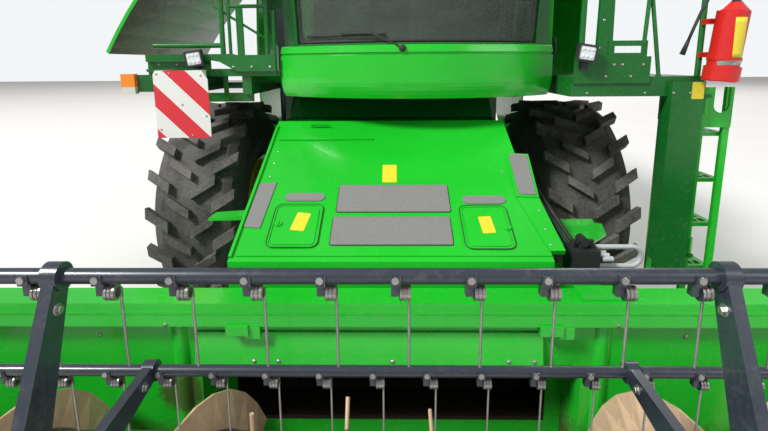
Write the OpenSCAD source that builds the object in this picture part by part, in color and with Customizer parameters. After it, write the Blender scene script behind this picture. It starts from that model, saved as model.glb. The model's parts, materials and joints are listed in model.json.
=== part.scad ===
// Combine harvester with a tined reel header, all sizes in millimetres.
// The front of the machine faces -Y, +X is its left-hand side, the floor is Z = 0.

/* [Front wheels] */
// Outer diameter of the front tyres
front_tyre_d = 1800; // [1700:10:1850]
// Width of the front tyres
front_tyre_w = 650; // [560:10:680]
// Distance between the centres of the front tyres
front_track = 2850; // [2800:10:3000]
// Rim diameter of the front wheels
front_rim_d = 815; // [760:5:900]
// Lugs on each half of a front tyre
front_lugs = 20; // [16:1:22]
// Height of a front tyre's lugs
front_lug_h = 52; // [40:2:60]
// Y of the front axle
front_axle_y = -540; // [-560:5:-520]

/* [Rear wheels] */
// Outer diameter of the rear tyres
rear_tyre_d = 1300; // [1200:10:1310]
// Width of the rear tyres
rear_tyre_w = 480; // [400:10:500]
// Distance between the centres of the rear tyres
rear_track = 2600; // [2560:10:2700]
// Rim diameter of the rear wheels
rear_rim_d = 610; // [560:5:660]
// Lugs on each half of a rear tyre
rear_lugs = 16; // [14:1:20]
// Height of a rear tyre's lugs
rear_lug_h = 38; // [30:2:44]
// Distance between the axles
wheelbase = 3650; // [3630:5:3680]
// Distance of a kingpin from the rear wheel's centre
kingpin_offset = 330; // [310:5:360]

/* [Threshing body] */
// Width of the threshing body
body_w = 1760; // [1700:10:1800]
// Height of the body's underside behind the front axle
body_floor_z = 850; // [800:10:900]
// Height of the deck that carries tank and engine
deck_z = 2330; // [2310:5:2360]
// Distance of the side panels from the middle
panel_x = 1650; // [1640:5:1680]
// Height of the side panels' hinges
panel_hinge_z = 3120; // [3090:5:3150]
// Thickness of a side panel
panel_t = 28; // [18:1:36]
// Opening of the raised front right side panel, from vertical
panel_open = 38; // [30:1:50]

/* [Grain tank] */
// Width of the grain tank
tank_w = 2760; // [2700:10:2780]
// Length of the grain tank
tank_l = 1460; // [1400:10:1480]
// Height of the grain tank's rim
tank_top_z = 3560; // [3500:10:3620]
// Wall of the grain tank
tank_wall = 20; // [12:1:30]

/* [Cab] */
// Width of the cab
cab_w = 1740; // [1680:10:1760]
// Distance of the cab's middle from the machine's middle
cab_x = 170; // [150:5:190]
// Height of the cab floor
cab_floor_z = 2030; // [2020:5:2050]
// Height of the underside of the cab roof
cab_roof_z = 3450; // [3400:10:3520]
// Radius of the front of the cab at its foot
cab_front_r = 1262; // [1250:2:1270]
// Outer radius of the curved front panel
panel_front_r = 1335; // [1325:5:1345]
// Wall of the cab
cab_wall = 48; // [40:1:56]
// Thickness of the glass
glass_t = 8; // [5:1:10]

/* [Feeder house] */
// Width of the feeder house
feeder_w = 1450; // [1400:10:1500]
// Slope of the feeder deck
feeder_slope = 24.3; // [23:0.1:25]
// Height of the deck's front edge
feeder_front_z = 1255; // [1240:5:1270]
// Y of the deck's front edge
feeder_front_y = -2650; // [-2660:5:-2640]
// Plate thickness of the feeder house
feeder_plate = 8; // [6:1:12]
// Y of the feeder house pivot
pivot_y = -950; // [-960:5:-940]
// Height of the feeder house pivot
pivot_z = 1600; // [1590:5:1610]

/* [Header] */
// Cutting width
header_w = 6100; // [6000:20:6200]
// Y of the front face of the top beam
beam_y = -2900; // [-2905:5:-2895]
// Height of the top of the top beam
beam_z = 1187; // [1180:1:1195]
// Height of the top beam
beam_h = 100; // [80:5:110]
// Outer diameter of the feed auger's flights
auger_d = 580; // [540:10:590]
// Tube diameter of the feed auger
auger_tube_d = 300; // [260:10:340]
// Y of the feed auger
auger_y = -3165; // [-3170:5:-3160]
// Height of the feed auger
auger_z = 645; // [640:5:660]
// Pitch of the flights
flight_pitch = 640; // [560:10:680]
// Pitch of the knife guards
guard_pitch = 76.2; // [70:0.1:80]
// Width of the opening to the feeder house
opening_w = 1580; // [1500:10:1580]

/* [Reel] */
// Radius of the circle of tine bars
reel_r = 538; // [500:2:545]
// Pitch of the tines
tine_pitch = 152.4; // [150:0.1:155]
// Diameter of a tine bar
bat_d = 33; // [28:1:36]
// Length of a tine below its bar
tine_l = 215; // [170:5:225]
// Diameter of the tine wire
wire_d = 6; // [5:0.5:7]
// Outer diameter of a tine's spring coil
coil_d = 34; // [30:1:36]
// Diameter of the reel's centre tube
reel_tube_d = 140; // [110:5:160]
// Y of the reel shaft
reel_y = -3950; // [-3960:5:-3945]
// Height of the reel shaft
reel_z = 1200; // [1195:1:1210]
// Angle of the first tine bar
reel_turn = 5.7; // [0:0.1:12]

/* [Platforms] */
// Height of the platforms' floor
platform_z = 2030; // [2020:5:2050]
// Diameter of the hand rails
rail_d = 34; // [26:1:42]
// Depth of a ladder step
step_depth = 200; // [180:5:220]
// Width of the ladder
ladder_w = 450; // [400:10:480]
// Distance between ladder steps
step_rise = 300; // [280:5:310]

/* [Unloading auger] */
// Diameter of the unloading tube
spout_d = 300; // [280:10:310]
// Length of the unloading tube
spout_l = 4250; // [4000:50:4300]

/* [Hidden] */

$fn = 48;
// Small seating gap between pieces
gap = 0.3;
// Play of a pin in its bore, on the diameter
play = 0.1;
// Clear run between pieces that pass each other
clear = 20;
rear_axle_y = front_axle_y + wheelbase;
front_axle_z = front_tyre_d / 2;
rear_axle_z = rear_tyre_d / 2;
body_x = body_w / 2;
green = "#2fae2f";
dark_green = "#1c6b24";
black = "#22252a";
steel = "#8d8f90";
rubber = "#3a3a3c";
yellow = "#e3c21a";

// Block between two corners
module block(a, b) {
  translate(a) cube(b - a);
}

// Outline in Y and Z drawn out along X
module along_x(x0, x1, outline) {
  translate([x0, 0, 0]) rotate([90, 0, 90]) linear_extrude(x1 - x0) polygon(outline);
}

// Outline in X and Z drawn out along Y
module along_y(y0, y1, outline) {
  translate([0, y1, 0]) rotate([90, 0, 0]) linear_extrude(y1 - y0) polygon(outline);
}

// Round bar from one point to another
module rod(a, b, d) {
  v = b - a;
  l = norm(v);
  translate(a) rotate([0, acos(v.z / l), atan2(v.y, v.x)]) cylinder(d = d, h = l);
}

// Shaft along X
module shaft(x0, x1, y, z, d) {
  translate([x0, y, z]) rotate([0, 90, 0]) cylinder(d = d, h = x1 - x0);
}

// The left-hand piece as drawn, or its mirror image for the right-hand side
module on_side(s) {
  if (s > 0) {
    children();
  } else {
    mirror([1, 0, 0]) children();
  }
}

function arc(c, r, a0, a1, n) =
  [for (i = [0 : n]) let (a = a0 + (a1 - a0) * i / n) c + r * [cos(a), sin(a)]];

// Outline of a box with rounded corners
function rounded(a, b, r) = concat(
  arc([b.x - r, b.y - r], r, 0, 90, 4), arc([a.x + r, b.y - r], r, 90, 180, 4),
  arc([a.x + r, a.y + r], r, 180, 270, 4), arc([b.x - r, a.y + r], r, 270, 360, 4));

// Wheels
// One lug is two straight bars, each square to the radius at its own middle:
// angle from the lug's root, axial span as a share of the half width, bar width
lug_bars = [[3.5, 0.02, 0.52, 62], [9.5, 0.48, 0.97, 76]];

module lug(d, w, h, lean) {
  for (b = lug_bars) {
    a = b[0];
    x0 = b[1] * w / 2;
    x1 = b[2] * w / 2;
    bar = b[3] * d / 1800;
    run = 6.6 * PI / 180 * d / 2;
    reach = norm([d / 2, run / 2 + bar / 2]) - d / 2;
    rotate([a, 0, 0]) translate([0, 0, d / 2 - h - 14])
      linear_extrude(h + 14 - reach)
        polygon([[x0, -run / 2 - bar / 2], [x1, run / 2 - bar / 2],
          [x1, run / 2 + bar / 2], [x0, -run / 2 + bar / 2]]);
  }
}

module tyre(d, w, rim, lugs, h) {
  crown = d / 2 - h;
  rotate([0, 90, 0]) rotate_extrude($fn = 96)
    polygon([[rim / 2, -w * 0.40], [rim / 2 + 30, -w * 0.43], [crown * 0.72, -w * 0.5],
      [crown * 0.88, -w * 0.49], [crown - 22, -w * 0.42], [crown, -w * 0.34],
      [crown, w * 0.34], [crown - 22, w * 0.42], [crown * 0.88, w * 0.49],
      [crown * 0.72, w * 0.5], [rim / 2 + 30, w * 0.43], [rim / 2, w * 0.40]]);
  for (i = [0 : lugs - 1]) {
    rotate([360 * i / lugs, 0, 0]) lug(d, w, h, 1);
    rotate([360 * (i + 0.5) / lugs, 0, 0]) mirror([1, 0, 0]) lug(d, w, h, 1);
  }
}

// Wheel rim: a barrel with a well and two flanges, and a pressed disc at disc_x
module rim(w, rim_d, disc_x, hub_d) {
  r = rim_d / 2 - gap;
  t = 12;
  h = hub_d / 2;
  rotate([0, 90, 0]) rotate_extrude($fn = 72) {
    polygon([[r + 24, -w * 0.455], [r + 24, -w * 0.434], [r, -w * 0.404], [r, -w * 0.2],
      [r - 40, -w * 0.14], [r - 40, 0], [r, w * 0.06], [r, w * 0.404],
      [r + 24, w * 0.434], [r + 24, w * 0.455], [r - t, w * 0.42], [r - t, w * 0.07],
      [r - 40 - t, w * 0.01], [r - 40 - t, -w * 0.15], [r - t, -w * 0.21],
      [r - t, -w * 0.42]]);
    translate([0, disc_x])
      polygon([[0, 0], [h + 40, 0], [h + 90, 22], [r - 90, 22], [r - 60, 0], [r - 46, 0],
        [r - 46, 16], [r - 56, 16], [r - 84, 38], [h + 84, 38], [h + 34, 16], [h, 16],
        [h - 20, 70], [h - 50, 84], [0, 84]]);
  }
}

front_disc_x = -92;
rear_disc_x = -60;
hub_front_d = 380;
hub_rear_d = 220;

module front_wheel_place(s) {
  translate([s * front_track / 2, front_axle_y, front_axle_z]) on_side(s) children();
}

module rear_wheel_place(s) {
  translate([s * rear_track / 2, rear_axle_y, rear_axle_z]) on_side(s) children();
}

module tyre_front(s) {
  color(rubber) front_wheel_place(s)
    tyre(front_tyre_d, front_tyre_w, front_rim_d, front_lugs, front_lug_h);
}

module rim_front(s) {
  color(yellow) front_wheel_place(s)
    rim(front_tyre_w, front_rim_d, front_disc_x, hub_front_d);
}

module tyre_rear(s) {
  color(rubber) rear_wheel_place(s)
    tyre(rear_tyre_d, rear_tyre_w, rear_rim_d, rear_lugs, rear_lug_h);
}

module rim_rear(s) {
  color(yellow) rear_wheel_place(s)
    rim(rear_tyre_w, rear_rim_d, rear_disc_x, hub_rear_d);
}

// Chassis
pivot_d = 120;
rail_w = 80;
rail_z0 = 1040;
rail_z1 = 1160;
throat_y = pivot_y + 330;
frame_end_y = 2250;
rear_deck_z = 1330;
rear_rail_x = 350;
hitch_y = rear_axle_y + 340;
hitch_z = 860;
hitch_r = 16;

module main_frame() {
  color(dark_green) {
    for (s = [-1, 1]) on_side(s) {
      block([body_x, throat_y - 90, rail_z0], [body_x + rail_w, frame_end_y, rail_z1]);
      // rear rails, inside the steered wheels
      block([rear_rail_x - 90, frame_end_y + 1, rear_deck_z - 130],
        [rear_rail_x, rear_axle_y + 620, rear_deck_z]);
    }
    block([-body_x - rail_w, frame_end_y, rail_z0],
      [body_x + rail_w, frame_end_y + 70, rear_deck_z]);
    // hanger of the rear axle's rocking pin
    along_x(-rear_rail_x, rear_rail_x,
      [[rear_axle_y - 230, rear_deck_z - 130], [rear_axle_y - 120, rear_axle_z + 190],
       [rear_axle_y + 120, rear_axle_z + 190], [rear_axle_y + 230, rear_deck_z - 130]]);
    // drawbar with its pin hole behind the rear axle
    difference() {
      block([-60, rear_axle_y + 60, hitch_z], [60, hitch_y + 50, hitch_z + 40]);
      translate([0, hitch_y, hitch_z - 1]) cylinder(r = hitch_r, h = 42);
    }
    // front cross tube and bulkhead below the cab
    block([-body_x, throat_y - 90, rail_z0], [body_x, throat_y - 10, rail_z1 - 60]);
    block([-body_x, throat_y - 14, rail_z1 - 70], [body_x, throat_y - gap, cab_floor_z - 70]);
    // cheeks that carry the feeder house's pivot
    for (s = [-1, 1]) on_side(s) difference() {
      along_x(feeder_x + 10, feeder_x + 34,
        [[throat_y, rail_z1 - 80], [throat_y, cab_floor_z - 120], [pivot_y - 20, pivot_z + 110],
         [pivot_y - 110, pivot_z + 20], [pivot_y - 90, pivot_z - 100],
         [throat_y - 88, rail_z1 - 80]]);
      shaft(feeder_x, feeder_x + 50, pivot_y, pivot_z, pivot_d + play);
    }
  }
}

axle_box = 280;
final_drive_x0 = body_x + rail_w + 10;
front_hub_x = front_track / 2 + front_disc_x;
lift_x = 520;
lift_foot = [-760, 760];
lift_pin_d = 44;

module front_axle() {
  color(dark_green) {
    block([-final_drive_x0, front_axle_y - axle_box / 2, rail_z0 - axle_box],
      [final_drive_x0, front_axle_y + axle_box / 2, rail_z0]);
    for (s = [-1, 1]) on_side(s) {
      shaft(final_drive_x0 - 10, final_drive_x0 + 90, front_axle_y, front_axle_z, 620);
      shaft(final_drive_x0 + 90, front_hub_x - gap, front_axle_y, front_axle_z, 300);
      for (e = [-1, 1])
        along_x(lift_x + e * 62 - 12, lift_x + e * 62 + 12,
          [[front_axle_y - 100, rail_z0 - axle_box + 10],
           [lift_foot.x - 40, lift_foot.y - 40], [lift_foot.x - 40, lift_foot.y + 40],
           [front_axle_y - 100, rail_z0 - 40]]);
      shaft(lift_x - 78, lift_x + 78, lift_foot.x, lift_foot.y, lift_pin_d);
    }
  }
}

kingpin_x = rear_track / 2 - kingpin_offset;
steer_arm = 260;
rear_beam_h = 170;

module rear_axle() {
  color(dark_green) {
    along_y(rear_axle_y - 75, rear_axle_y + 75,
      [[-kingpin_x + 120, rear_axle_z - 60], [-kingpin_x + 120, rear_axle_z + 60],
       [-rear_rail_x, rear_axle_z + rear_beam_h / 2], [rear_rail_x, rear_axle_z + rear_beam_h / 2],
       [kingpin_x - 120, rear_axle_z + 60], [kingpin_x - 120, rear_axle_z - 60],
       [rear_rail_x, rear_axle_z - rear_beam_h / 2],
       [-rear_rail_x, rear_axle_z - rear_beam_h / 2]]);
    for (s = [-1, 1]) on_side(s)
      for (z = [[-125, -75], [75, 125]])
        hull() {
          translate([kingpin_x, rear_axle_y, rear_axle_z + z[0]])
            cylinder(d = 130, h = z[1] - z[0]);
          block([kingpin_x - 180, rear_axle_y - 75, rear_axle_z + z[0]],
            [kingpin_x - 120, rear_axle_y + 75, rear_axle_z + z[1]]);
        }
    for (s = [-1, 1]) on_side(s)
      block([kingpin_x - 180, rear_axle_y - 75, rear_axle_z - 125],
        [kingpin_x - 112, rear_axle_y + 75, rear_axle_z + 125]);
    // rocking pin block under the hanger
    block([-140, rear_axle_y - 160, rear_axle_z + rear_beam_h / 2],
      [140, rear_axle_y + 160, rear_axle_z + 190]);
  }
}

module knuckle(s) {
  color(dark_green) on_side(s) {
    translate([kingpin_x, rear_axle_y, rear_axle_z - 75 + gap])
      cylinder(d = 116, h = 150 - 2 * gap);
    shaft(kingpin_x, rear_track / 2 + rear_disc_x - gap, rear_axle_y, rear_axle_z, 90);
    shaft(rear_track / 2 + rear_disc_x - 40, rear_track / 2 + rear_disc_x - gap,
      rear_axle_y, rear_axle_z, 200);
    // steering arm, pointing back
    block([kingpin_x - 30, rear_axle_y + 40, rear_axle_z - 68],
      [kingpin_x + 30, rear_axle_y + steer_arm + 30, rear_axle_z - 38]);
  }
}

module tie_rod() {
  y = rear_axle_y + steer_arm;
  z = rear_axle_z - 68 - 25;
  color(steel) {
    shaft(-kingpin_x, kingpin_x, y, z, 40);
    for (s = [-1, 1])
      translate([s * kingpin_x, y, z - 25]) cylinder(d = 60, h = 50 - gap);
  }
}

// Threshing body and hood
module separator_body() {
  color(green) along_x(-body_x, body_x,
    [[throat_y, rail_z1], [throat_y, cab_floor_z - 60], [cab_rear_y + 10, cab_floor_z - 60],
     [cab_rear_y + 10, deck_z], [frame_end_y, deck_z], [frame_end_y, rail_z0],
     [frame_end_y - 350, body_floor_z], [front_axle_y + axle_box, body_floor_z],
     [front_axle_y + axle_box / 2 + clear, rail_z1]]);
}

hood_end_y = rear_axle_y + 950;
// Start of the straw chopper and of the fuel tank
chop_y = rear_axle_y + 630;
function fuel_y() = hood_rear_y + 40;
function hood_z(y) = deck_z - 40 * (y - fuel_y() + 20) / 520;

module straw_hood() {
  color(green) along_x(-body_x, body_x,
    [[frame_end_y + 70, rear_deck_z], [frame_end_y + gap, rear_deck_z + gap],
     [frame_end_y + gap, deck_z], [fuel_y() - 20, deck_z], [fuel_y() + 500, deck_z - 40],
     [hood_end_y - 210, deck_z - 260], [hood_end_y, deck_z - 560], [hood_end_y, rear_deck_z + 170],
     [hood_end_y - 110, rear_deck_z]]);
}

module straw_chopper() {
  color(dark_green) {
    along_x(-body_x + 40, body_x - 40,
      [[chop_y, rear_deck_z - gap], [chop_y, 1120], [chop_y + 160, 980], [chop_y + 460, 980],
       [chop_y + 590, 1080], [chop_y + 590, 1250], [chop_y + 460, 1400], [hood_end_y + gap, 1470],
       [hood_end_y + gap, 1440], [hood_end_y - 100, rear_deck_z - gap]]);
    // fan of guide vanes
    for (i = [-4 : 4])
      along_x(i * 190 - 4, i * 190 + 4,
        [[chop_y + 590, 1090], [chop_y + 590, 1240], [chop_y + 820, 1130], [chop_y + 820, 1000], [chop_y + 680, 960]]);
    along_x(-body_x + 40, body_x - 40,
      [[chop_y + 590, 1250], [chop_y + 590, 1262], [chop_y + 820, 1142], [chop_y + 820, 1130]]);
  }
}

// Side structure that carries the panels
bulk_t = 10;
side_front_y = -650;
// Front end of the side panels: the left one starts behind the platform
function front_y(s) = s > 0 ? plat_rear_y + 20 : side_front_y;
panel_split_y = 1470;
panel_end_y = 3050;
tank_y = 40;
tank_shoulder_z = 2740;
tank_rim_z = 3160;

hinge_x = panel_x - 24;
rail_x = panel_x - panel_t - 16;
knuckle_l = 60;
cradle_y = 2850;

// Starts of a panel's two hinge knuckles
function knuckles(y0, y1) = [y0 + 120, y1 - 120 - knuckle_l];

module side_frame() {
  color(dark_green) for (s = [-1, 1]) on_side(s) {
    // hinge rail
    block([rail_x - 50, front_y(s), panel_hinge_z - 30], [rail_x, panel_end_y, panel_hinge_z + 20]);
    // bulkheads between the body and the hinge rail
    for (y = [panel_split_y - 5, panel_end_y - bulk_t])
      along_y(y, y + bulk_t,
        [[body_x, rear_deck_z + 60], [body_x, deck_z], [body_x + 60, tank_shoulder_z - 40],
         [rail_x - 50, panel_hinge_z - 30], [rail_x, panel_hinge_z - 30],
         [panel_x - 90, 2600], [body_x + 300, 1900], [body_x + 120, rear_deck_z + 60]]);
    // fixed halves of the panel hinges
    for (k = concat(knuckles(front_y(s), panel_split_y - 8), knuckles(panel_split_y + 2, panel_end_y))) {
      block([rail_x - 5, k + knuckle_l + gap, panel_hinge_z - 8], [hinge_x, k + 2 * knuckle_l, panel_hinge_z + 8]);
      translate([hinge_x, k + knuckle_l + gap, panel_hinge_z]) rotate([-90, 0, 0])
        cylinder(d = 26, h = knuckle_l - gap);
    }
  }
  // cradle of the unloading tube
  color(dark_green) along_y(cradle_y, cradle_y + 60,
    [[rail_x - 50, panel_hinge_z + 20], [rail_x - 20, panel_hinge_z + 20],
     [turret.x + 30, tube_z - spout_d / 2 - 1], [turret.x - 30, tube_z - spout_d / 2 - 1]]);
}

drive_x = body_x + 70;
screen_x = 1120;

// Pulley with its shaft stub on the right-hand side of the body
module pulley(y, z, d, w, x) {
  difference() {
    shaft(x, x + w, y, z, d);
    translate([x + w / 2, y, z]) rotate([0, 90, 0]) rotate_extrude()
      translate([d / 2, 0]) polygon([[1, -w * 0.36], [-20, -w * 0.12], [-20, w * 0.12],
        [1, w * 0.36]]);
  }
  shaft(body_x, x, y, z, 60);
}

module side_drives() {
  color(black) on_side(-1) {
    pulley(200, 1750, 620, 70, drive_x);
    pulley(1250, 2050, 420, 70, drive_x);
    pulley(1050, 1350, 360, 70, drive_x);
    // rotary screen of the cooling air
    difference() {
      shaft(screen_x, screen_x + 150, screen_y, 2800, 760);
      shaft(screen_x - 1, screen_x + 110, screen_y, 2800, 640);
    }
    shaft(screen_x + 150, screen_x + 180, screen_y, 2800, 300);
  }
  color(dark_green) on_side(-1) {
    // grain elevator
    block([body_x, 480, 1250], [body_x + 300, 700, tank_shoulder_z - 60]);
  }
}

// Grain tank
tank_x = tank_w / 2;

module grain_tank() {
  y0 = tank_y;
  y1 = tank_y + tank_l;
  w = tank_wall;
  color(green) difference() {
    along_y(y0, y1,
      [[-tank_x, tank_top_z], [-tank_x, tank_rim_z], [-body_x, tank_shoulder_z],
       [-body_x, deck_z], [body_x, deck_z], [body_x, tank_shoulder_z],
       [tank_x, tank_rim_z], [tank_x, tank_top_z]]);
    along_y(y0 + w, y1 - w,
      [[-tank_x + w, tank_top_z + 1], [-tank_x + w, tank_rim_z + w],
       [-body_x + w, tank_shoulder_z + w], [-250, deck_z + w], [250, deck_z + w],
       [body_x - w, tank_shoulder_z + w], [tank_x - w, tank_rim_z + w],
       [tank_x - w, tank_top_z + 1]]);
  }
  // fixed halves of the cover hinges
  color(green) for (s = [-1, 1], k = cover_knuckles) on_side(s) {
    block([tank_x - 1, k + 60 + gap, tank_top_z - 60], [tank_x + 8, k + 120, tank_top_z - 2]);
    block([tank_x + 2, k + 62, tank_top_z - 10], [tank_x + 8, k + 118, cover_hinge.y]);
    translate([cover_hinge.x, k + 60 + gap, cover_hinge.y]) rotate([-90, 0, 0])
      cylinder(d = 24, h = 60 - gap);
  }
  // turret of the unloading tube
  color(green) {
    translate([turret.x, turret.y, panel_hinge_z + 30]) cylinder(d = spout_d, h = turret_z - panel_hinge_z - 30);
    block([turret.x - 420, turret.y - 90, panel_hinge_z - 80], [turret.x - 170, tank_y + 1, turret_z - 10]);
    block([turret.x - 180, turret.y - 90, panel_hinge_z + 30], [turret.x, turret.y + 90, turret_z - 10]);
  }
}

cover_rise = 120;
cover_t = 14;
cover_hinge = [tank_x + 15, tank_top_z + gap + 15];
cover_knuckles = [tank_y + 140, tank_y + tank_l - 260];

module tank_cover(s) {
  y0 = tank_y;
  y1 = tank_y + tank_l;
  z = tank_top_z + gap;
  color(green) on_side(s) {
    for (k = cover_knuckles) {
      block([tank_x - 2, k, z + 9], [cover_hinge.x, k + 60, z + 21]);
      translate([cover_hinge.x, k, cover_hinge.y]) rotate([-90, 0, 0]) cylinder(d = 24, h = 60);
    }
    along_y(y0, y1,
      [[tank_x - 20, z], [tank_x, z], [tank_x, z + 30], [3, z + cover_rise + cover_t],
       [3, z + cover_rise], [tank_x - 60, z + 22], [tank_x - 60, z]]);
  }
}

// Engine
engine_y = tank_y + tank_l + 120;
hood_rear_y = tank_y + tank_l + 1260;
screen_y = hood_rear_y - 650;
hood_top_z = 3270;

module engine_block() {
  color(steel) block([-420, engine_y, deck_z], [420, engine_y + 900, deck_z + 750]);
}

module engine_hood() {
  x = 1120;
  w = 16;
  color(green) difference() {
    along_x(-x, x,
      [[tank_y + tank_l, deck_z], [tank_y + tank_l, hood_top_z], [hood_rear_y - 440, hood_top_z],
       [hood_rear_y - 120, 3040], [hood_rear_y, deck_z]]);
    along_x(-x + w, x - w,
      [[tank_y + tank_l + w, deck_z - 1], [tank_y + tank_l + w, hood_top_z - w],
       [hood_rear_y - 448, hood_top_z - w], [hood_rear_y - 136, 3032],
       [hood_rear_y - 16, deck_z - 1]]);
    shaft(-x - 10, -x + w + 10, screen_y, 2800, 640);
  }
}

module exhaust_stack() {
  color(steel) {
    difference() {
      union() {
        translate([560, engine_y + 180, hood_top_z]) cylinder(d = 230, h = 322);
        translate([560, engine_y + 180, 3590]) cylinder(d = 110, h = 200);
      }
      translate([560, engine_y + 180, 3700]) cylinder(d = 96, h = 100);
    }
  }
}

module fuel_tank() {
  color(green) along_x(-640, 640,
    [[fuel_y(), hood_z(fuel_y()) + gap], [fuel_y(), 2780], [fuel_y() + 60, 2840],
     [fuel_y() + 380, 2840], [fuel_y() + 450, 2780],
     [fuel_y() + 480, hood_z(fuel_y() + 480) + gap]]);
}

// Cab
cab_arc_y = -455;
cab_rear_y = -20;
glass_z0 = 2240;
cab_lean_r = 80;
screen_half = 37;
door_y0 = -1330;
door_y1 = -430;

// Cab outline between two heights, set in from the outer wall
module cab_block(z0, z1, inset) {
  intersection() {
    block([cab_x - cab_w / 2 + inset, cab_arc_y - 1500, z0],
      [cab_x + cab_w / 2 - inset, cab_rear_y - inset, z1]);
    translate([cab_x, cab_arc_y, cab_floor_z - 60])
      cylinder(r1 = cab_front_r - inset, r2 = cab_front_r + cab_lean_r - inset,
        h = cab_roof_z - cab_floor_z + 60, $fn = 96);
  }
}

// Slice of a ring round the cab's front axis, from a section in radius and height
module front_sweep(half, section) {
  translate([cab_x, cab_arc_y, 0]) rotate([0, 0, 270 - half])
    rotate_extrude(angle = 2 * half, $fn = 220) polygon(section);
}

function lean_r(z) =
  cab_front_r + cab_lean_r * (z - cab_floor_z + 60) / (cab_roof_z - cab_floor_z + 60);

module cab_body() {
  color(dark_green) difference() {
    cab_block(cab_floor_z - 60, cab_roof_z, 0);
    cab_block(cab_floor_z, cab_roof_z - 50, cab_wall);
    translate([0, 0, 0]) cab_block(cab_roof_z - 60, cab_roof_z + 1, cab_wall + 40);
    front_sweep(screen_half,
      [[900, glass_z0], [1500, glass_z0], [1500, cab_roof_z - 60], [900, cab_roof_z - 60]]);
    // door opening on the left, windows on the right and behind
    block([cab_x + cab_w / 2 - cab_wall - 5, door_y0, cab_floor_z + 10],
      [cab_x + cab_w / 2 + 5, door_y1, cab_roof_z - 60]);
    block([cab_x - cab_w / 2 - 5, door_y0, glass_z0 + 60],
      [cab_x - cab_w / 2 + cab_wall + 5, -180, cab_roof_z - 60]);
    block([cab_x + cab_w / 2 - cab_wall - 5, door_y1 + 90, glass_z0 + 60],
      [cab_x + cab_w / 2 + 5, -110, cab_roof_z - 60]);
    block([cab_x - 600, cab_rear_y - cab_wall - 5, 2600],
      [cab_x + 600, cab_rear_y + 5, cab_roof_z - 60]);
  }
  // fixed halves of the door hinges
  color(dark_green) for (z = door_hinge_z) {
    block([cab_x + cab_w / 2 - 1, door_hinge.y + 3, z + 60 + gap],
      [door_hinge.x, door_hinge.y + 22, z + 100]);
    translate([door_hinge.x, door_hinge.y, z + 60 + gap]) cylinder(d = 30, h = 40 - gap);
  }
}

module cab_glass() {
  z0 = glass_z0 + gap;
  z1 = cab_roof_z - 60 - gap;
  mid = cab_wall / 2;
  color("#9fb4b8", 0.5) {
    front_sweep(screen_half - 0.02,
      [[lean_r(z0) - mid, z0], [lean_r(z0) - mid + glass_t, z0],
       [lean_r(z1) - mid + glass_t, z1], [lean_r(z1) - mid, z1]]);
    block([cab_x - cab_w / 2 + mid, door_y0 + gap, z0 + 60],
      [cab_x - cab_w / 2 + mid + glass_t, -180 - gap, z1]);
    block([cab_x + cab_w / 2 - mid, door_y1 + 90 + gap, z0 + 60],
      [cab_x + cab_w / 2 - mid + glass_t, -110 - gap, z1]);
    block([cab_x - 600 + gap, cab_rear_y - mid, 2600 + gap],
      [cab_x + 600 - gap, cab_rear_y - mid + glass_t, z1]);
  }
}

module cab_roof() {
  color(green) hull() {
    intersection() {
      block([cab_x - cab_w / 2 - 50, -2100, cab_roof_z],
        [cab_x + cab_w / 2 + 50, cab_rear_y + 20, cab_roof_z + 130]);
      translate([cab_x, cab_arc_y, cab_roof_z]) cylinder(r = 1440, h = 130, $fn = 64);
    }
    intersection() {
      block([cab_x - cab_w / 2 + 70, -2100, cab_roof_z + 130],
        [cab_x + cab_w / 2 - 70, cab_rear_y - 60, cab_roof_z + 240]);
      translate([cab_x, cab_arc_y, cab_roof_z]) cylinder(r = 1300, h = 240, $fn = 64);
    }
  }
}

cab_panel_z0 = 1905;
cab_panel_z1 = 2228;
cab_panel_half = 41.8;

// Section of the front panel: rolled under at its foot, a groove and a lip at its top
function cab_panel_section(r, z0, z1) =
  concat([[r - 62, z0 + 12], [r - 52, z0]],
    [for (i = [0 : 5]) [r - 30 * pow(1 - i / 5, 2), z0 + 4 + 116 * i / 5]],
    [[r - 2, z1 - 62], [r - 12, z1 - 58], [r - 12, z1 - 48], [r - 2, z1 - 44],
     [r - 10, z1 - 6], [r - 20, z1], [r - 58, z1], [r - 58, z1 - 26], [r - 34, z1 - 30],
     [r - 34, z0 + 60], [r - 48, z0 + 26]]);

module cab_panel() {
  r = panel_front_r;
  color(green) {
    front_sweep(cab_panel_half, cab_panel_section(r, cab_panel_z0, cab_panel_z1));
    // carriers between the panel and the cab floor
    for (x = [-520, 520])
      block([cab_x + x - 30, cab_arc_y - sqrt(pow(r - 34, 2) - pow(x, 2)) + 4, cab_floor_z - 110],
        [cab_x + x + 30, cab_arc_y - 900, cab_floor_z - 60]);
  }
}

door_t = 40;
door_hinge = [cab_x + cab_w / 2 + 2 + door_t, door_y1 + 12];
door_hinge_z = [cab_floor_z + 300, cab_roof_z - 360];

module cab_door() {
  x1 = cab_x + cab_w / 2 + door_t + 2;
  x0 = cab_x + cab_w / 2 + 2;
  color(green) {
    difference() {
      block([x0, door_y0 - 12, cab_floor_z + 20], [x1, door_y1 + 12, cab_roof_z - 40]);
      block([x0 - 1, door_y0 + 60, glass_z0 + 80], [x1 + 1, door_y1 - 60, cab_roof_z - 100]);
      for (z = door_hinge_z)
        translate([door_hinge.x, door_hinge.y, z + 60]) cylinder(d = 44, h = 44);
    }
    for (z = door_hinge_z)
      rod([door_hinge.x, door_hinge.y, z], [door_hinge.x, door_hinge.y, z + 60], 30);
  }
  color("#9fb4b8", 0.5)
    block([x0 + 16, door_y0 + 60, glass_z0 + 80], [x0 + 16 + glass_t, door_y1 - 60, cab_roof_z - 100]);
}

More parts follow.
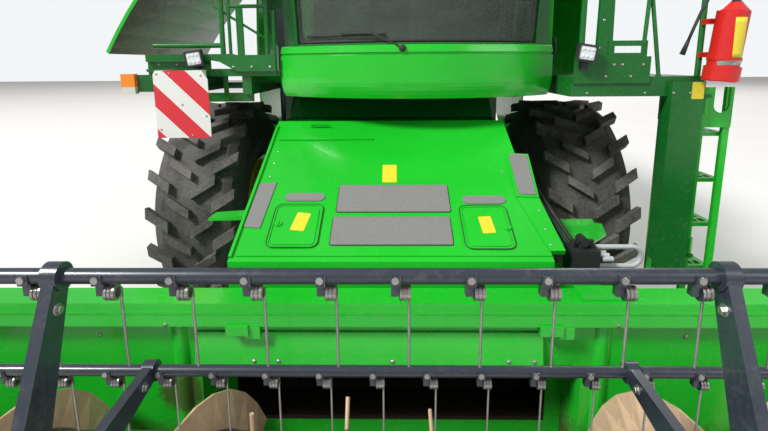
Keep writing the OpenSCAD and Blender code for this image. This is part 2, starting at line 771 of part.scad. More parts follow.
module operator_seat() {
  x = cab_x;
  z = cab_floor_z;
  color(black) {
    block([x - 170, -820, z], [x + 170, -480, z + 330]);
    hull() {
      block([x - 250, -960, z + 330], [x + 250, -460, z + 400]);
      block([x - 230, -940, z + 400], [x + 230, -480, z + 450]);
    }
    hull() {
      block([x - 240, -480, z + 380], [x + 240, -400, z + 420]);
      block([x - 200, -380, z + 1020], [x + 200, -300, z + 1060]);
    }
    // armrest console on the right
    block([x - 430, -1000, z + 480], [x - 280, -420, z + 560]);
    block([x - 400, -700, z], [x - 300, -500, z + 480]);
    // steering column and wheel
    block([x - 60, -1390, z], [x + 60, -1270, z + 40]);
    rod([x, -1330, z + 20], [x, -1180, z + 700], 90);
    translate([x, -1180, z + 700]) rotate([20, 0, 0]) rotate_extrude()
      translate([180, 0]) circle(d = 30);
    translate([x, -1180, z + 700]) rotate([20, 0, 0]) block([-170, -20, -12], [170, 20, 12]);
  }
}

// Platforms, rails and ladder
plat_front_y = -1690;
plat_rear_y = -360;
plat_x0 = cab_x + cab_w / 2 + 60;
plat_x1 = 1900;
post_x0 = 1690;
ladder_x = 1925;
ladder_y = plat_front_y + 60;
ladder_top_z = platform_z - 70;
ladder_hinge = [plat_x1 + 20, ladder_y - 50];
sleeve_z = [900, 1800];
sleeve_h = 100;
rail_h = 1000;

module platform_left() {
  color(dark_green) {
    block([plat_x0, plat_front_y, platform_z - 30], [plat_x1, plat_rear_y, platform_z]);
    // fascia, upright plate with its grip slot, and leaning posts
    block([plat_x0 + 8, plat_front_y - 12, platform_z - 40], [1563, plat_front_y + 1, platform_z + 119]);
    difference() {
      block([1304, plat_front_y - 10, platform_z + 100], [1536, plat_front_y, platform_z + 212]);
      block([1341, plat_front_y - 13, platform_z + 140], [1502, plat_front_y + 1, platform_z + 180]);
    }
    along_y(plat_front_y - 6, plat_front_y + 26,
      [[1237, platform_z - 20], [1333, platform_z - 20], [1318, platform_z + rail_h - 40],
       [1248, platform_z + rail_h - 40]]);
    rod([1515, plat_front_y - 4, platform_z + 190], [1541, plat_front_y + 20, platform_z + 540], 24);
    rod([1633, plat_front_y + 16, platform_z - 20], [1543, plat_front_y + 23, platform_z + 540], 24);
    translate([1629, plat_front_y + 18, platform_z - 20]) cylinder(d = 32, h = 28);
    // beams below the floor
    for (x = [plat_x0, plat_x1 - 60])
      block([x, plat_front_y, platform_z - 120], [x + 60, plat_rear_y, platform_z - 29]);
    block([plat_x0, plat_front_y, platform_z - 120], [plat_x1, plat_front_y + 60, platform_z - 29]);
    block([body_x, throat_y + 10, platform_z - 120], [plat_x1, throat_y + 70, cab_floor_z - 60 - gap]);
    // tall plate that carries the ladder
    block([post_x0, plat_front_y - 40, 700], [plat_x1 - 15, plat_front_y, platform_z - 30]);
    block([post_x0, plat_front_y - 41, 860], [post_x0 + 14, plat_front_y + 70, platform_z - 119]);
    // lugs above and below the ladder's sleeves
    for (z = [sleeve_z[0] - 20, sleeve_z[1] + sleeve_h + gap])
      block([plat_x1 - 30, plat_front_y - 20, z], [ladder_hinge.x + 20, ladder_hinge.y + 20, z + 20 - gap]);
    // hand rails
    for (p = [[plat_x1 - 30, plat_front_y + 30], [plat_x0 + 60, plat_front_y + 30],
        [plat_x1 - 30, plat_rear_y - 40]])
      rod([p.x, p.y, platform_z], [p.x, p.y, platform_z + rail_h], rail_d);
    for (h = [rail_h, rail_h * 0.5])
      rod([plat_x0 + 60, plat_front_y + 30, platform_z + h],
        [plat_x1 - 30, plat_front_y + 30, platform_z + h], rail_d);
  }
}

plat_right_y0 = -1450;
plat_right_x = 1594;

module platform_right() {
  x0 = -(cab_w / 2 - cab_x) - 26;
  y = plat_right_y0;
  z = platform_z;
  color(dark_green) {
    block([-plat_right_x, y, z + 10], [x0, plat_rear_y, z + 40]);
    // fascia: a channel on the right, a bent plate next to the cab
    block([-plat_right_x, y - 14, z + 20], [-1180, y + 2, z + 155]);
    block([-plat_right_x, y - 40, z + 108], [-1180, y - 13, z + 155]);
    block([-plat_right_x, y - 40, z + 43], [-1180, y - 13, z + 62]);
    along_y(y - 40, y + 2,
      [[-1181, z + 155], [-1181, z + 118], [-1110, z + 104], [-1030, z + 60], [-1000, z + 43],
       [-745, z + 43], [-745, z + 148], [-1000, z + 148], [-1030, z + 155]]);
    block([-1181, y - 14, z + 12], [-745, y + 2, z + 60]);
    for (x = [-1460, -980])
      block([x, y, z - 110], [x + 60, throat_y + 70, z + 11]);
    block([-1460, throat_y + 10, z - 110], [-body_x, throat_y + 70, cab_floor_z - 60 - gap]);
    // grip tube, posts, top rail and brace
    rod([-1545, y - 10, z + 210], [-1085, y - 10, z + 210], 32);
    for (p = [[-1089, 34, 700], [-1040, 22, 700], [-799, 28, 700], [-752, 24, 430]])
      rod([p.x, y - 14, z + 100], [p.x, y - 14, z + p.z], p.y);
    block([-992, y - 24, z + 100], [-950, y - 4, z + 445]);
    rod([-1089, y - 10, z + 700], [-790, y - 10, z + 700], rail_d);
    rod([-1045, y - 10, z + 455], [-790, y - 10, z + 455], 24);
    rod([-1180, y - 4, z + 482], [-790, y - 4, z + 240], 16);
    // arm of the marker lamp
    block([-1672, y - 10, z - 88], [-1390, y + 2, z + 24]);
    // black step edge below the floor
    along_y(y + 40, y + 52, [[-1290, z - 160], [-1290, z - 100], [-920, z - 100], [-920, z - 160]]);
    for (x = [-1120, -960]) block([x, y + 40, z - 110], [x + 30, y + 52, z + 12]);
  }
}

module ladder() {
  y0 = ladder_y;
  y1 = ladder_y + ladder_w;
  color(green) {
    for (y = [y0, y1 - 30])
      for (x = [ladder_x, ladder_x + step_depth - 40])
        block([x, y, 480], [x + 40, y + 30, ladder_top_z]);
    for (i = [1 : 4]) difference() {
      block([ladder_x, y0 + 30, ladder_top_z - 10 - i * step_rise],
        [ladder_x + step_depth, y1 - 30, ladder_top_z + 15 - i * step_rise]);
      for (x = [30, 80, 130], k = [0 : 3])
        block([ladder_x + x, y0 + 60 + k * 90, ladder_top_z - 11 - i * step_rise],
          [ladder_x + x + 34, y0 + 120 + k * 90, ladder_top_z + 16 - i * step_rise]);
    }
    for (y = [y0 - 8, y1]) difference() {
      block([ladder_x, y, ladder_top_z - 250], [ladder_x + step_depth, y + 8, ladder_top_z]);
      translate([ladder_x + step_depth - 70, y - 1, ladder_top_z - 110]) rotate([-90, 0, 0])
        cylinder(d = 96, h = 10);
      block([ladder_x + step_depth - 118, y - 1, ladder_top_z - 110],
        [ladder_x + step_depth - 22, y + 9, ladder_top_z + 1]);
    }
    // swivel sleeve
    for (z = sleeve_z) {
      translate([ladder_hinge.x, ladder_hinge.y, z]) cylinder(d = 36, h = sleeve_h);
      block([ladder_hinge.x, ladder_hinge.y, z], [ladder_x + 20, ladder_y + 10, z + sleeve_h]);
    }
  }
}

ext_d = 165;
ext_h = 456;

module fire_extinguisher() {
  x = plat_x1 + 15;
  y = plat_front_y - 110;
  z = platform_z - 30;
  translate([x, y, z]) rotate([0, 5, 0]) {
    color("#c0261c") {
      cylinder(d = ext_d, h = ext_h - 60);
      translate([0, 0, 4]) cylinder(d = ext_d + 24, h = 84);
      translate([0, 0, ext_h - 60]) cylinder(d1 = ext_d, d2 = 50, h = 60);
    }
    color(black) {
      translate([0, 0, ext_h - 1]) cylinder(d = 44, h = 62);
      block([-60, -12, ext_h + 60], [60, 12, ext_h + 84]);
      translate([0, 0, 118]) cylinder(d = ext_d + 10, h = 22);
    }
  }
  color(black) for (h = [140, 330])
    block([plat_x1 - 50, y + 50, z + h], [x, plat_front_y + 30 - rail_d / 2 - gap, z + h + 30]);
}

plate_w = 342;
plate_h = 423;

module warning_plate() {
  x = -1307;
  z = 1872;
  y = -1650;
  w = plate_w / 2;
  h = plate_h / 2;
  color("white")
    along_y(y, y + 5,
      [[x - w, z - h + 12], [x - w, z + h - 24], [x - w + 16, z + h], [x + w - 34, z + h],
       [x + w, z + h - 56], [x + w, z - h + 12], [x + w - 12, z - h], [x - w + 12, z - h]]);
  color(dark_green)
    for (dx = [-110, 90])
      block([x + dx - 15, y + 5, z + h - 50], [x + dx + 15, plat_right_y0 - 40, platform_z + 54]);
}

// Work lamp: housing with a recessed face, heat-sink block and foot
module work_lamp(x, y, z, lean) {
  translate([x, y, z]) rotate([0, lean, 0]) {
    difference() {
      block([-56, -60, -50], [56, -20, 50]);
      block([-46, -61, -40], [46, -52, 40]);
    }
    block([-38, -21, -34], [38, 0, 34]);
  }
}

module lamps_and_mirrors() {
  color(black) {
    work_lamp(-1256, plat_right_y0 - 42, platform_z + 126, -9);
    block([-1276, plat_right_y0 - 60, platform_z + 64], [-1236, plat_right_y0 - 14 - gap, platform_z + 106]);
    work_lamp(1160, plat_front_y - 14, platform_z + 140, 9);
    block([1140, plat_front_y - 40, platform_z + 40], [1180, plat_front_y - 12 - gap, platform_z + 110]);
    // marker lamp at the end of its arm
    block([-1775, plat_right_y0 - 34, platform_z - 100], [-1684, plat_right_y0 + 14, platform_z + 30]);
    block([-1685, plat_right_y0 - 6, platform_z - 70], [-1672 - gap, plat_right_y0, platform_z - 10]);
    // mirrors on arms at the roof corners
    for (s = [-1, 1]) translate([cab_x, 0, 0]) on_side(s) {
      block([cab_w / 2 + 50 + gap, -1420, cab_roof_z + 20], [cab_w / 2 + 84, -1340, cab_roof_z + 100]);
      rod([cab_w / 2 + 70, -1380, cab_roof_z + 60], [cab_w / 2 + 420, -1745, cab_roof_z - 120], 32);
      block([cab_w / 2 + 320, -1770, cab_roof_z - 620], [cab_w / 2 + 560, -1720, cab_roof_z - 110]);
    }
  }
}

// Side panels: closed shape, then swung about the hinge
front_panel_z = 1975;
rear_panel_z = 1150;
arch_z = 1370;

panel_drop = 20;
panel_crown = 55;

// Turned about its hinge by the given opening
module panel_hinge(s, angle) {
  translate([s * hinge_x, 0, panel_hinge_z]) rotate([0, -s * angle, 0])
    translate([-s * hinge_x, 0, -panel_hinge_z]) children();
}

// Side panel: a crowned sheet with two hinge knuckles on its top edge
module side_panel(s, y0, y1, z0, angle) {
  top = panel_hinge_z - panel_drop;
  bow = [for (i = [0 : 6]) [hinge_x + panel_crown * (sin(25 * i) - 0.08 * i), top - (top - z0) * i / 6]];
  outline = concat([for (p = bow) p + [panel_t / 2, 0]],
    [for (i = [6 : -1 : 0]) bow[i] - [panel_t / 2, 0]]);
  panel_hinge(s, angle) on_side(s) {
    along_y(y0, y1, outline);
    for (k = knuckles(y0, y1)) {
      block([hinge_x - 8, k, top - 2], [hinge_x + 8, k + knuckle_l, panel_hinge_z]);
      translate([hinge_x, k, panel_hinge_z]) rotate([-90, 0, 0]) cylinder(d = 26, h = knuckle_l);
    }
  }
}

module panel_front(s, angle) {
  color(green) side_panel(s, front_y(s), panel_split_y - 8, front_panel_z, angle);
}

module panel_rear(s) {
  color(green) difference() {
    side_panel(s, panel_split_y + 2, panel_end_y, rear_panel_z, 0);
    on_side(s) translate([panel_x - 200, rear_axle_y, rear_axle_z]) rotate([0, 90, 0])
      cylinder(r = arch_z - rear_axle_z + 40, h = 400);
  }
}

// Unloading auger
turret = [tank_x + 30 + spout_d / 2, -180];
turret_z = panel_hinge_z + 60;
elbow_r = 160;
tube_z = turret_z + elbow_r + 40;
sock_l = 240;

module unloading_tube() {
  color(green) {
    translate([turret.x, turret.y, turret_z + gap]) {
      cylinder(d = spout_d + 50, h = 24);
      cylinder(d = spout_d, h = tube_z - elbow_r - turret_z - gap);
    }
    // elbow, from straight up to straight back
    translate([turret.x, turret.y + elbow_r, tube_z - elbow_r]) rotate([90, 0, -90])
      rotate_extrude(angle = 90) translate([elbow_r, 0]) circle(d = spout_d);
    translate([turret.x, turret.y + elbow_r, tube_z]) rotate([-90, 0, 0]) difference() {
      union() {
        cylinder(d = spout_d, h = spout_l - elbow_r - sock_l);
        // narrower end for the rubber sock
        cylinder(d = spout_d - 16, h = spout_l - elbow_r);
        for (y = [600, 2100, spout_l - elbow_r - sock_l - 90])
          translate([0, 0, y]) cylinder(d = spout_d + 24, h = 30);
      }
      translate([0, 0, 60]) cylinder(d = spout_d - 32, h = spout_l);
    }
  }
}

// Feeder house
feeder_x = feeder_w / 2;
drum_r = 290;
deck_end_y = -1550;
function deck_z_at(y) = feeder_front_z + (y - feeder_front_y) * tan(feeder_slope);
feeder_low_z = 420;

module feeder_house() {
  p = feeder_plate;
  color(green) {
    difference() {
      union() {
        along_x(-feeder_x, feeder_x,
          [[feeder_front_y, feeder_low_z], [feeder_front_y, feeder_front_z],
           [deck_end_y, deck_z_at(deck_end_y)], [deck_end_y + 30, deck_z_at(deck_end_y) - 60],
           [pivot_y, pivot_z + drum_r - 120], [pivot_y, pivot_z - drum_r],
           [pivot_y - 180, pivot_z - drum_r], [feeder_front_y + 220, feeder_low_z]]);
        shaft(-feeder_x, feeder_x, pivot_y, pivot_z, 2 * drum_r);
      }
      along_x(-feeder_x + 2 * p, feeder_x - 2 * p,
        [[feeder_front_y - 1, feeder_low_z + 60], [feeder_front_y - 1, feeder_front_z - 330],
         [pivot_y - 300, pivot_z + 100], [pivot_y - 300, pivot_z - 160],
         [feeder_front_y + 200, feeder_low_z + 60]]);
    }
    // front frame against the header's throat
    difference() {
      block([-812, feeder_front_y, feeder_low_z - 64], [812, feeder_front_y + 20, 940]);
      block([-feeder_x + 2 * p + 4, feeder_front_y - 1, feeder_low_z + 64],
        [feeder_x - 2 * p - 4, feeder_front_y + 21, opening_top_z - 6]);
    }
    on_deck() deck_details();
    // bracket on the right, sheet with its steps on the left
    along_y(-2340, -2230, [[-feeder_x - 195, 1352], [-feeder_x + 1, 1366], [-feeder_x + 1, 1300],
      [-feeder_x - 20, 1344], [-feeder_x - 195, 1340]]);
    translate([0, 0, 1228]) linear_extrude(10)
      polygon([[feeder_x - 1, -2010], [1150, -2010], [1130, -2080], [1170, -2090], [1120, -2260],
        [960, -2420], [feeder_x - 1, -2440]]);
    along_x(feeder_x - 1, feeder_x + 9, [[-2440, 1180], [-2440, 1232], [-2010, 1232], [-2010, 1180]]);
    block([feeder_x - 1, -2600, 1100], [feeder_x + 232, -2420, 1150]);
    block([feeder_x - 1, -2430, 1100], [feeder_x + 60, -2410, 1237]);
    shaft(-feeder_x - 34, feeder_x + 34, pivot_y, pivot_z, pivot_d);
    // ears and pins for the lift rods
    for (s = [-1, 1]) on_side(s) {
      for (e = [-1, 1])
        along_x(lift_x + e * 56 - 8, lift_x + e * 56 + 8,
          [[lift_eye.x - 90, 860], [lift_eye.x - 45, lift_eye.y - 20], [lift_eye.x - 20, lift_eye.y - 45],
           [lift_eye.x + 20, lift_eye.y - 45], [lift_eye.x + 45, lift_eye.y - 20],
           [lift_eye.x + 110, 960]]);
      shaft(lift_x - 60, lift_x + 60, lift_eye.x, lift_eye.y, lift_pin_d);
    }
  }
}

// Piece laid on the feeder deck: own Y up the slope from its front edge, own Z off it
module on_deck() {
  translate([0, feeder_front_y, feeder_front_z]) rotate([feeder_slope, 0, 0]) children();
}

hatches = [[[-575, 82], [-335, 381]], [[345, 72], [577, 368]]];

module deck_details() {
  // hatches with a sunk seam and a latch each
  for (h = hatches) difference() {
    translate([0, 0, -2]) linear_extrude(8) polygon(rounded(h[0], h[1], 36));
    translate([0, 0, 2]) difference() {
      linear_extrude(5) polygon(rounded(h[0] + [10, 10], h[1] - [10, 10], 28));
      translate([0, 0, -1]) linear_extrude(7) polygon(rounded(h[0] + [18, 18], h[1] - [18, 18], 20));
    }
  }
  for (c = [[-542, 236], [557, 209]]) {
    translate([c.x, c.y, 4]) cylinder(d = 40, h = 8);
    block([c.x - 5, c.y - 16, 11], [c.x + 5, c.y + 16, 16]);
  }
  // lips and ribs across the deck
  block([-feeder_x + 30, 30, -2], [feeder_x - 4, 50, 6]);
  block([-681, 975, -2], [-105, 991, 9]);
  block([-feeder_x, 22, -2], [-feeder_x + 14, 1140, 12]);
  // grip handle at the rear edge
  for (x = [-500, -400]) block([x, 1121, -2], [x + 10, 1131, 20]);
  block([-500, 1120, 16], [-390, 1132, 26]);
  // raised wing along the left edge with its gusset
  translate([0, 0, -20]) linear_extrude(32)
    polygon([[648, 432], [666, 822], [795, 808], [762, 425]]);
  translate([0, 0, -18]) linear_extrude(24)
    polygon([[650, 434], [763, 427], [790, 60], [720, 60]]);
}

// Grip strips: two mats between the hatches, two slots and one strip along each edge
module grip_pads() {
  color("#8d8f90") on_deck() {
    for (m = [[[-278, 100], [291, 288]], [[-268, 325], [301, 536]]])
      translate([0, 0, gap]) linear_extrude(5) polygon(rounded(m[0], m[1], 10));
    for (m = [[[-544, 409], [-338, 470]], [[370, 384], [589, 446]]])
      translate([0, 0, gap]) linear_extrude(5) polygon(rounded(m[0], m[1], 30));
    translate([0, 0, gap]) linear_extrude(5)
      polygon([[-702, 547], [-612, 565], [-625, 209], [-704, 219]]);
    translate([0, 0, 12 + gap]) linear_extrude(5)
      polygon([[664, 447], [681, 806], [780, 796], [750, 440]]);
  }
}

// Bent hose: straight to the bend, half a turn, straight back
module hose_loop(x, y, z, r, l, d) {
  shaft(x, x + l, y, z + r, d);
  shaft(x, x + l, y, z - r, d);
  translate([x + l, y, z]) rotate([90, 90, 0]) rotate_extrude(angle = 180)
    translate([r, 0]) circle(d = d, $fn = 20);
}

// Multi-coupler of the header with its hoses, at the left front of the feeder house
module header_hoses() {
  x = feeder_x;
  color(black) {
    block([x + 110, -2570, 1150 + gap], [x + 235, -2450, 1270]);
    for (k = [0 : 2]) {
      translate([x + 130 + k * 40, -2510, 1269]) cylinder(d = 30, h = 34);
      shaft(x + 234, x + 300, -2550 + k * 40, 1225, 26);
    }
    translate([x + 172, -2475, 1302]) rotate([90, 0, 0]) cylinder(d = 42, h = 70);
    hose_loop(x + 234, -2470, 1205, 48, 190, 24);
    // hoses down the side of the feeder house
    for (k = [0, 34])
      rod([x + 30 + k, -2020, 1482 - k / 2], [x + 128 + k, -2470, 1250], 22);
    block([x + gap, -2030, 1450], [x + 78, -2010, 1500]);
  }
}

// Eyes of the lift cylinders on the feeder house
lift_eye = [-1950, 690];
barrel_l = 780;
// Clearance of the rod's eye round its pin, which takes up the linkage's drift
eye_slack = 8;

// Cylinder piece in the Y-Z plane, laid from a foot towards an eye
module toward(foot, eye) {
  v = eye - foot;
  translate([0, foot.x, foot.y]) rotate([atan2(v.y, v.x), 0, 0]) children();
}

module lift_barrels() {
  color(black) for (s = [-1, 1]) translate([s * lift_x, 0, 0]) toward(lift_foot, lift_eye) {
    difference() {
      union() {
        rotate([-90, 0, 0]) translate([0, 0, 50]) cylinder(d = 120, h = barrel_l);
        shaft(-45, 45, 0, 0, 110);
      }
      shaft(-50, 50, 0, 0, lift_pin_d + play);
      rotate([-90, 0, 0]) translate([0, 0, 120]) cylinder(d = 81, h = barrel_l);
    }
  }
}

module lift_rods() {
  l = norm(lift_eye - lift_foot);
  color(steel) for (s = [-1, 1]) translate([s * lift_x, 0, 0]) toward(lift_foot, lift_eye) {
    rotate([-90, 0, 0]) translate([0, 0, 175]) cylinder(d = 80, h = l - 175 - 36);
    difference() {
      translate([0, l, 0]) shaft(-40, 40, 0, 0, 84);
      translate([0, l, 0]) shaft(-41, 41, 0, 0, lift_pin_d + 2 * eye_slack);
    }
  }
}

// Header
side_x = header_w / 2;
back_y = beam_y + 50;
sheet_t = 8;
floor_z = auger_z - auger_d / 2 - 15;
opening_top_z = 870;
knife_y = -3790;
knife_z = 300;
side_t = 36;
tip_y = -4540;

// Floor line of the header, from the back sheet through the trough to the knife
function floor_path() =
  concat([[back_y + sheet_t / 2, floor_z + 36]],
    arc([auger_y, auger_z], auger_d / 2 + 15, -60, -115, 6), [[knife_y, knife_z]]);

function thick(path, t) =
  concat(path, [for (i = [len(path) - 1 : -1 : 0]) path[i] - [0, t]]);

module header_frame() {
  color(green) {
    // top beam
    block([-side_x, beam_y, beam_z - beam_h], [side_x, beam_y + 136, beam_z]);
    // back sheet with the opening to the feeder house
    difference() {
      block([-side_x, back_y, floor_z - 20], [side_x, back_y + sheet_t, beam_z - beam_h + 1]);
      block([-opening_w / 2, back_y - 5, floor_z + 46],
        [opening_w / 2, back_y + 20, opening_top_z]);
    }
    along_x(-side_x, side_x, thick(floor_path(), sheet_t));
    // flap over the opening, columns beside it, hooks below the beam
    along_x(-800, 620, [[back_y - 34, 880], [back_y - 42, 892], [back_y - 12, 1040], [back_y + 1, 1044],
      [back_y + 1, 880]]);
    for (x = [-868, 868])
      translate([x, back_y + 30, 380]) cylinder(d = 90, h = beam_z - beam_h - 377);
    for (x = [-610, 640]) {
      block([x - 45, beam_y - 12, beam_z - beam_h - 34], [x + 45, beam_y + 30, beam_z - beam_h + 8]);
      block([x + 30, beam_y - 4, beam_z - beam_h - 50], [x + 90, beam_y + 20, beam_z - beam_h + 2]);
    }
    block([760, beam_y + 20, beam_z - 1], [960, beam_y + 110, beam_z + 26]);
    // seam strip along the beam
    block([-side_x, beam_y - 3, beam_z - 44], [side_x, beam_y + 1, beam_z - 38]);
    // throat that meets the feeder house
    difference() {
      block([-opening_w / 2 - 8, back_y + 2, floor_z + 30],
        [opening_w / 2 + 8, feeder_front_y, opening_top_z + 14]);
      block([-opening_w / 2, back_y, floor_z + 46],
        [opening_w / 2, feeder_front_y + 1, opening_top_z]);
    }
    // brackets and pins of the reel arms
    for (s = [-1, 1]) on_side(s) {
      along_x(arm_x - 15, arm_x - 1,
        [[beam_y, beam_z - 1], [arm_pivot.x - 40, arm_pivot.y + 45], [arm_pivot.x + 40, arm_pivot.y + 45],
         [beam_y + 136, beam_z - 1]]);
      shaft(arm_x - 15, arm_x + 70, arm_pivot.x, arm_pivot.y, arm_pin_d);
    }
    // lower tube and posts
    block([-side_x, back_y + sheet_t - 1, 270], [side_x, back_y + 128, floor_z + 30]);
    for (x = [-side_x + 60, -1900, -opening_w / 2 - 90, opening_w / 2 + 90, 1900, side_x - 60])
      block([x - 40, back_y + sheet_t - 1, floor_z], [x + 40, back_y + 78, beam_z - beam_h + 1]);
  }
  // side walls and dividers
  color(green) for (s = [-1, 1]) on_side(s) {
    along_x(side_x - 1, side_x + side_t,
      [[beam_y + 136, 270], [beam_y + 136, beam_z], [beam_y, beam_z], [auger_y - 220, 960],
       [knife_y - 60, 560], [knife_y - 100, 240], [knife_y, 240]]);
    hull() {
      block([side_x + 2, knife_y - 140, 245], [side_x + 60, knife_y - 60, 560]);
      block([side_x + 20, tip_y, 230], [side_x + 40, tip_y + 20, 250]);
    }
  }
}

module knife_bar() {
  n = floor(header_w / guard_pitch) - 1;
  half = n * guard_pitch / 2;
  teeth = [for (i = [0 : n - 1]) let (x = -half + i * guard_pitch)
    each [[x, 0], [x + guard_pitch * 0.34, -10], [x + guard_pitch * 0.5, -105],
      [x + guard_pitch * 0.66, -10]]];
  color(steel) {
    translate([0, knife_y - 12, knife_z - 26]) linear_extrude(18)
      polygon(concat(teeth, [[half, 0], [half, 8], [-half, 8]]));
    block([-side_x + 1, knife_y - 30, knife_z - 30], [side_x - 1, knife_y - gap, knife_z - 14]);
  }
}

// Helical flight as a strip between two radii
module flight(x0, x1, r0, r1, pitch, hand, t) {
  steps = ceil(20 * (x1 - x0) / pitch);
  ri = (r0 + gap) / cos(180 / 20);
  ring = [for (i = [0 : steps])
    let (x = x0 + (x1 - x0 - t) * i / steps, a = hand * 360 * (x - x0) / pitch)
    each [[x, ri * cos(a), ri * sin(a)], [x, r1 * cos(a), r1 * sin(a)],
      [x + t, r1 * cos(a), r1 * sin(a)], [x + t, ri * cos(a), ri * sin(a)]]];
  faces = concat([[0, 1, 2, 3]],
    [for (i = [0 : steps - 1], k = [0 : 3])
      [4 * i + k, 4 * i + 4 + k, 4 * i + 4 + (k + 1) % 4, 4 * i + (k + 1) % 4]],
    [[4 * steps + 3, 4 * steps + 2, 4 * steps + 1, 4 * steps]]);
  if (hand < 0) {
    polyhedron(ring, faces, convexity = 10);
  } else {
    polyhedron(ring, [for (f = faces) [for (k = [len(f) - 1 : -1 : 0]) f[k]]], convexity = 10);
  }
}

module header_auger() {
  color(steel) translate([0, auger_y, auger_z]) {
    shaft(-side_x + 8, side_x - 8, 0, 0, auger_tube_d);
    shaft(-side_x + 1 + gap, side_x - 1 - gap, 0, 0, 80);
    for (s = [-1, 1]) rotate([s > 0 ? -179 : -27, 0, 0])
      flight(s > 0 ? 520 : -side_x + 12, s > 0 ? side_x - 12 : -520, auger_tube_d / 2, auger_d / 2,
        flight_pitch, s, 8);
    for (i = [0 : 9])
      rotate([i * 108, 0, 0]) translate([-486 + i * 108, 0, auger_tube_d / 2 - 5])
        cylinder(d = 16, h = 120);
  }
}

// Reel
arm_x = side_x - 20;
arm_pivot = [-2830, 1290];
arm_h = 90;
arm_pin_d = 50;
// Half the number of tine pitches that fit between the reel arms
reel_pitches = floor(2 * (side_x - 60) / tine_pitch) / 2;
spider_x = [for (k = [-reel_pitches, -13.5, -4.5, 4.5, 13.5, reel_pitches]) k * tine_pitch];
reel_half = reel_pitches * tine_pitch;
arm_aim = atan2(reel_z - arm_pivot.y, reel_y - arm_pivot.x);

// Piece laid along the reel arm, its own +Y pointing from the arm's pivot to the reel
module along_arm() {
  translate([0, arm_pivot.x, arm_pivot.y]) rotate([arm_aim, 0, 0]) children();
}

arm_l = norm([reel_y - arm_pivot.x, reel_z - arm_pivot.y]);

module reel_arms() {
  color(black) {
    for (s = [-1, 1]) on_side(s) along_arm()
      difference() {
        block([arm_x, -60, -arm_h / 2], [arm_x + 60, arm_l + 330, arm_h / 2]);
        shaft(arm_x - 1, arm_x + 61, 0, 0, arm_pin_d + play);
      }
  }
}

module reel_carriers() {
  color(black) for (s = [-1, 1]) on_side(s) along_arm() {
    difference() {
      block([arm_x - 34, arm_l - 110, -70], [arm_x - gap, arm_l + 110, 70]);
      shaft(arm_x - 40, arm_x, arm_l, 0, reel_shaft_d + play);
    }
  }
}

reel_shaft_d = 60;
arm_tip_w = 46;
arm_root_w = 100;
arm_t = 26;

// Point of a spider at r along arm i and t across it
function on_arm(i, r, t) =
  let (a = 60 * i + reel_turn) [r * cos(a) - t * sin(a), r * sin(a) + t * cos(a)];

// Six tapered arms cut from one plate, each with a clamp for its tine bar
module spider() {
  difference() {
    union() {
      along_x(-arm_t / 2, arm_t / 2,
        [for (i = [0 : 5]) each [on_arm(i, arm_root_w * cos(30), -arm_root_w / 2),
          on_arm(i, reel_r, -arm_tip_w / 2), on_arm(i, reel_r, arm_tip_w / 2)]]);
      for (i = [0 : 5]) rotate([60 * i + reel_turn, 0, 0])
        shaft(-arm_t / 2 - 4, arm_t / 2 + 4, reel_r, 0, arm_tip_w + 14);
    }
    for (i = [0 : 5]) rotate([60 * i + reel_turn, 0, 0])
      shaft(-arm_t, arm_t, reel_r, 0, bat_d + 4 * play);
  }
}

module reel_frame() {
  color(black) translate([0, reel_y, reel_z]) {
    shaft(-reel_half - arm_t / 2 - 3, reel_half + arm_t / 2 + 3, 0, 0, reel_tube_d);
    shaft(-arm_x + 6, arm_x - 6, 0, 0, reel_shaft_d);
    for (x = spider_x) translate([x, 0, 0]) spider();
  }
}

// Distance of the first tine's bolt from the end spider, for even and odd bars
bolt_shift = [31, tine_pitch - 59];
tine_count = 2 * reel_pitches;
coil_drop = 36;

// One double-bent spring tine: clamp on the bar, coil and straight wire
module tine() {
  // bolt head on the front of the bar, strap down to the coil
  rotate([90, 0, 0]) cylinder(d = 15, h = bat_d / 2 + 9);
  block([-10, -bat_d / 2 - 4, -14], [10, 9, 8]);
  block([-9, -9, -coil_drop - 5], [9, 9, 0]);
  translate([8, 0, -coil_drop]) rotate([0, 90, 0]) difference() {
    union() {
      cylinder(d = coil_d - 4, h = 24);
      for (k = [0 : 2]) translate([0, 0, 1 + k * 8.2]) cylinder(d = coil_d, h = 5.6);
    }
    translate([0, 0, -1]) cylinder(d = coil_d - 2 * wire_d, h = 26);
  }
  // heel where the last turn runs into the straight wire
  heel = coil_drop + coil_d / 2 + 2;
  block([25.6, coil_d / 2 - wire_d - 0.5, -heel], [32.4, coil_d / 2 + 0.5, -coil_drop + 4]);
  translate([29, coil_d / 2 - wire_d / 2, -tine_l]) cylinder(d = wire_d, h = tine_l - heel + 1);
}

module reel_bat(i) {
  a = 60 * i + reel_turn;
  shift = bolt_shift[i % 2];
  color(black) translate([0, reel_y + reel_r * cos(a), reel_z + reel_r * sin(a)]) {
    shaft(-reel_half - 16, reel_half + 16, 0, 0, bat_d);
    for (k = [0 : tine_count - 1])
      translate([-reel_half + shift + k * tine_pitch, 0, 0]) tine();
  }
}

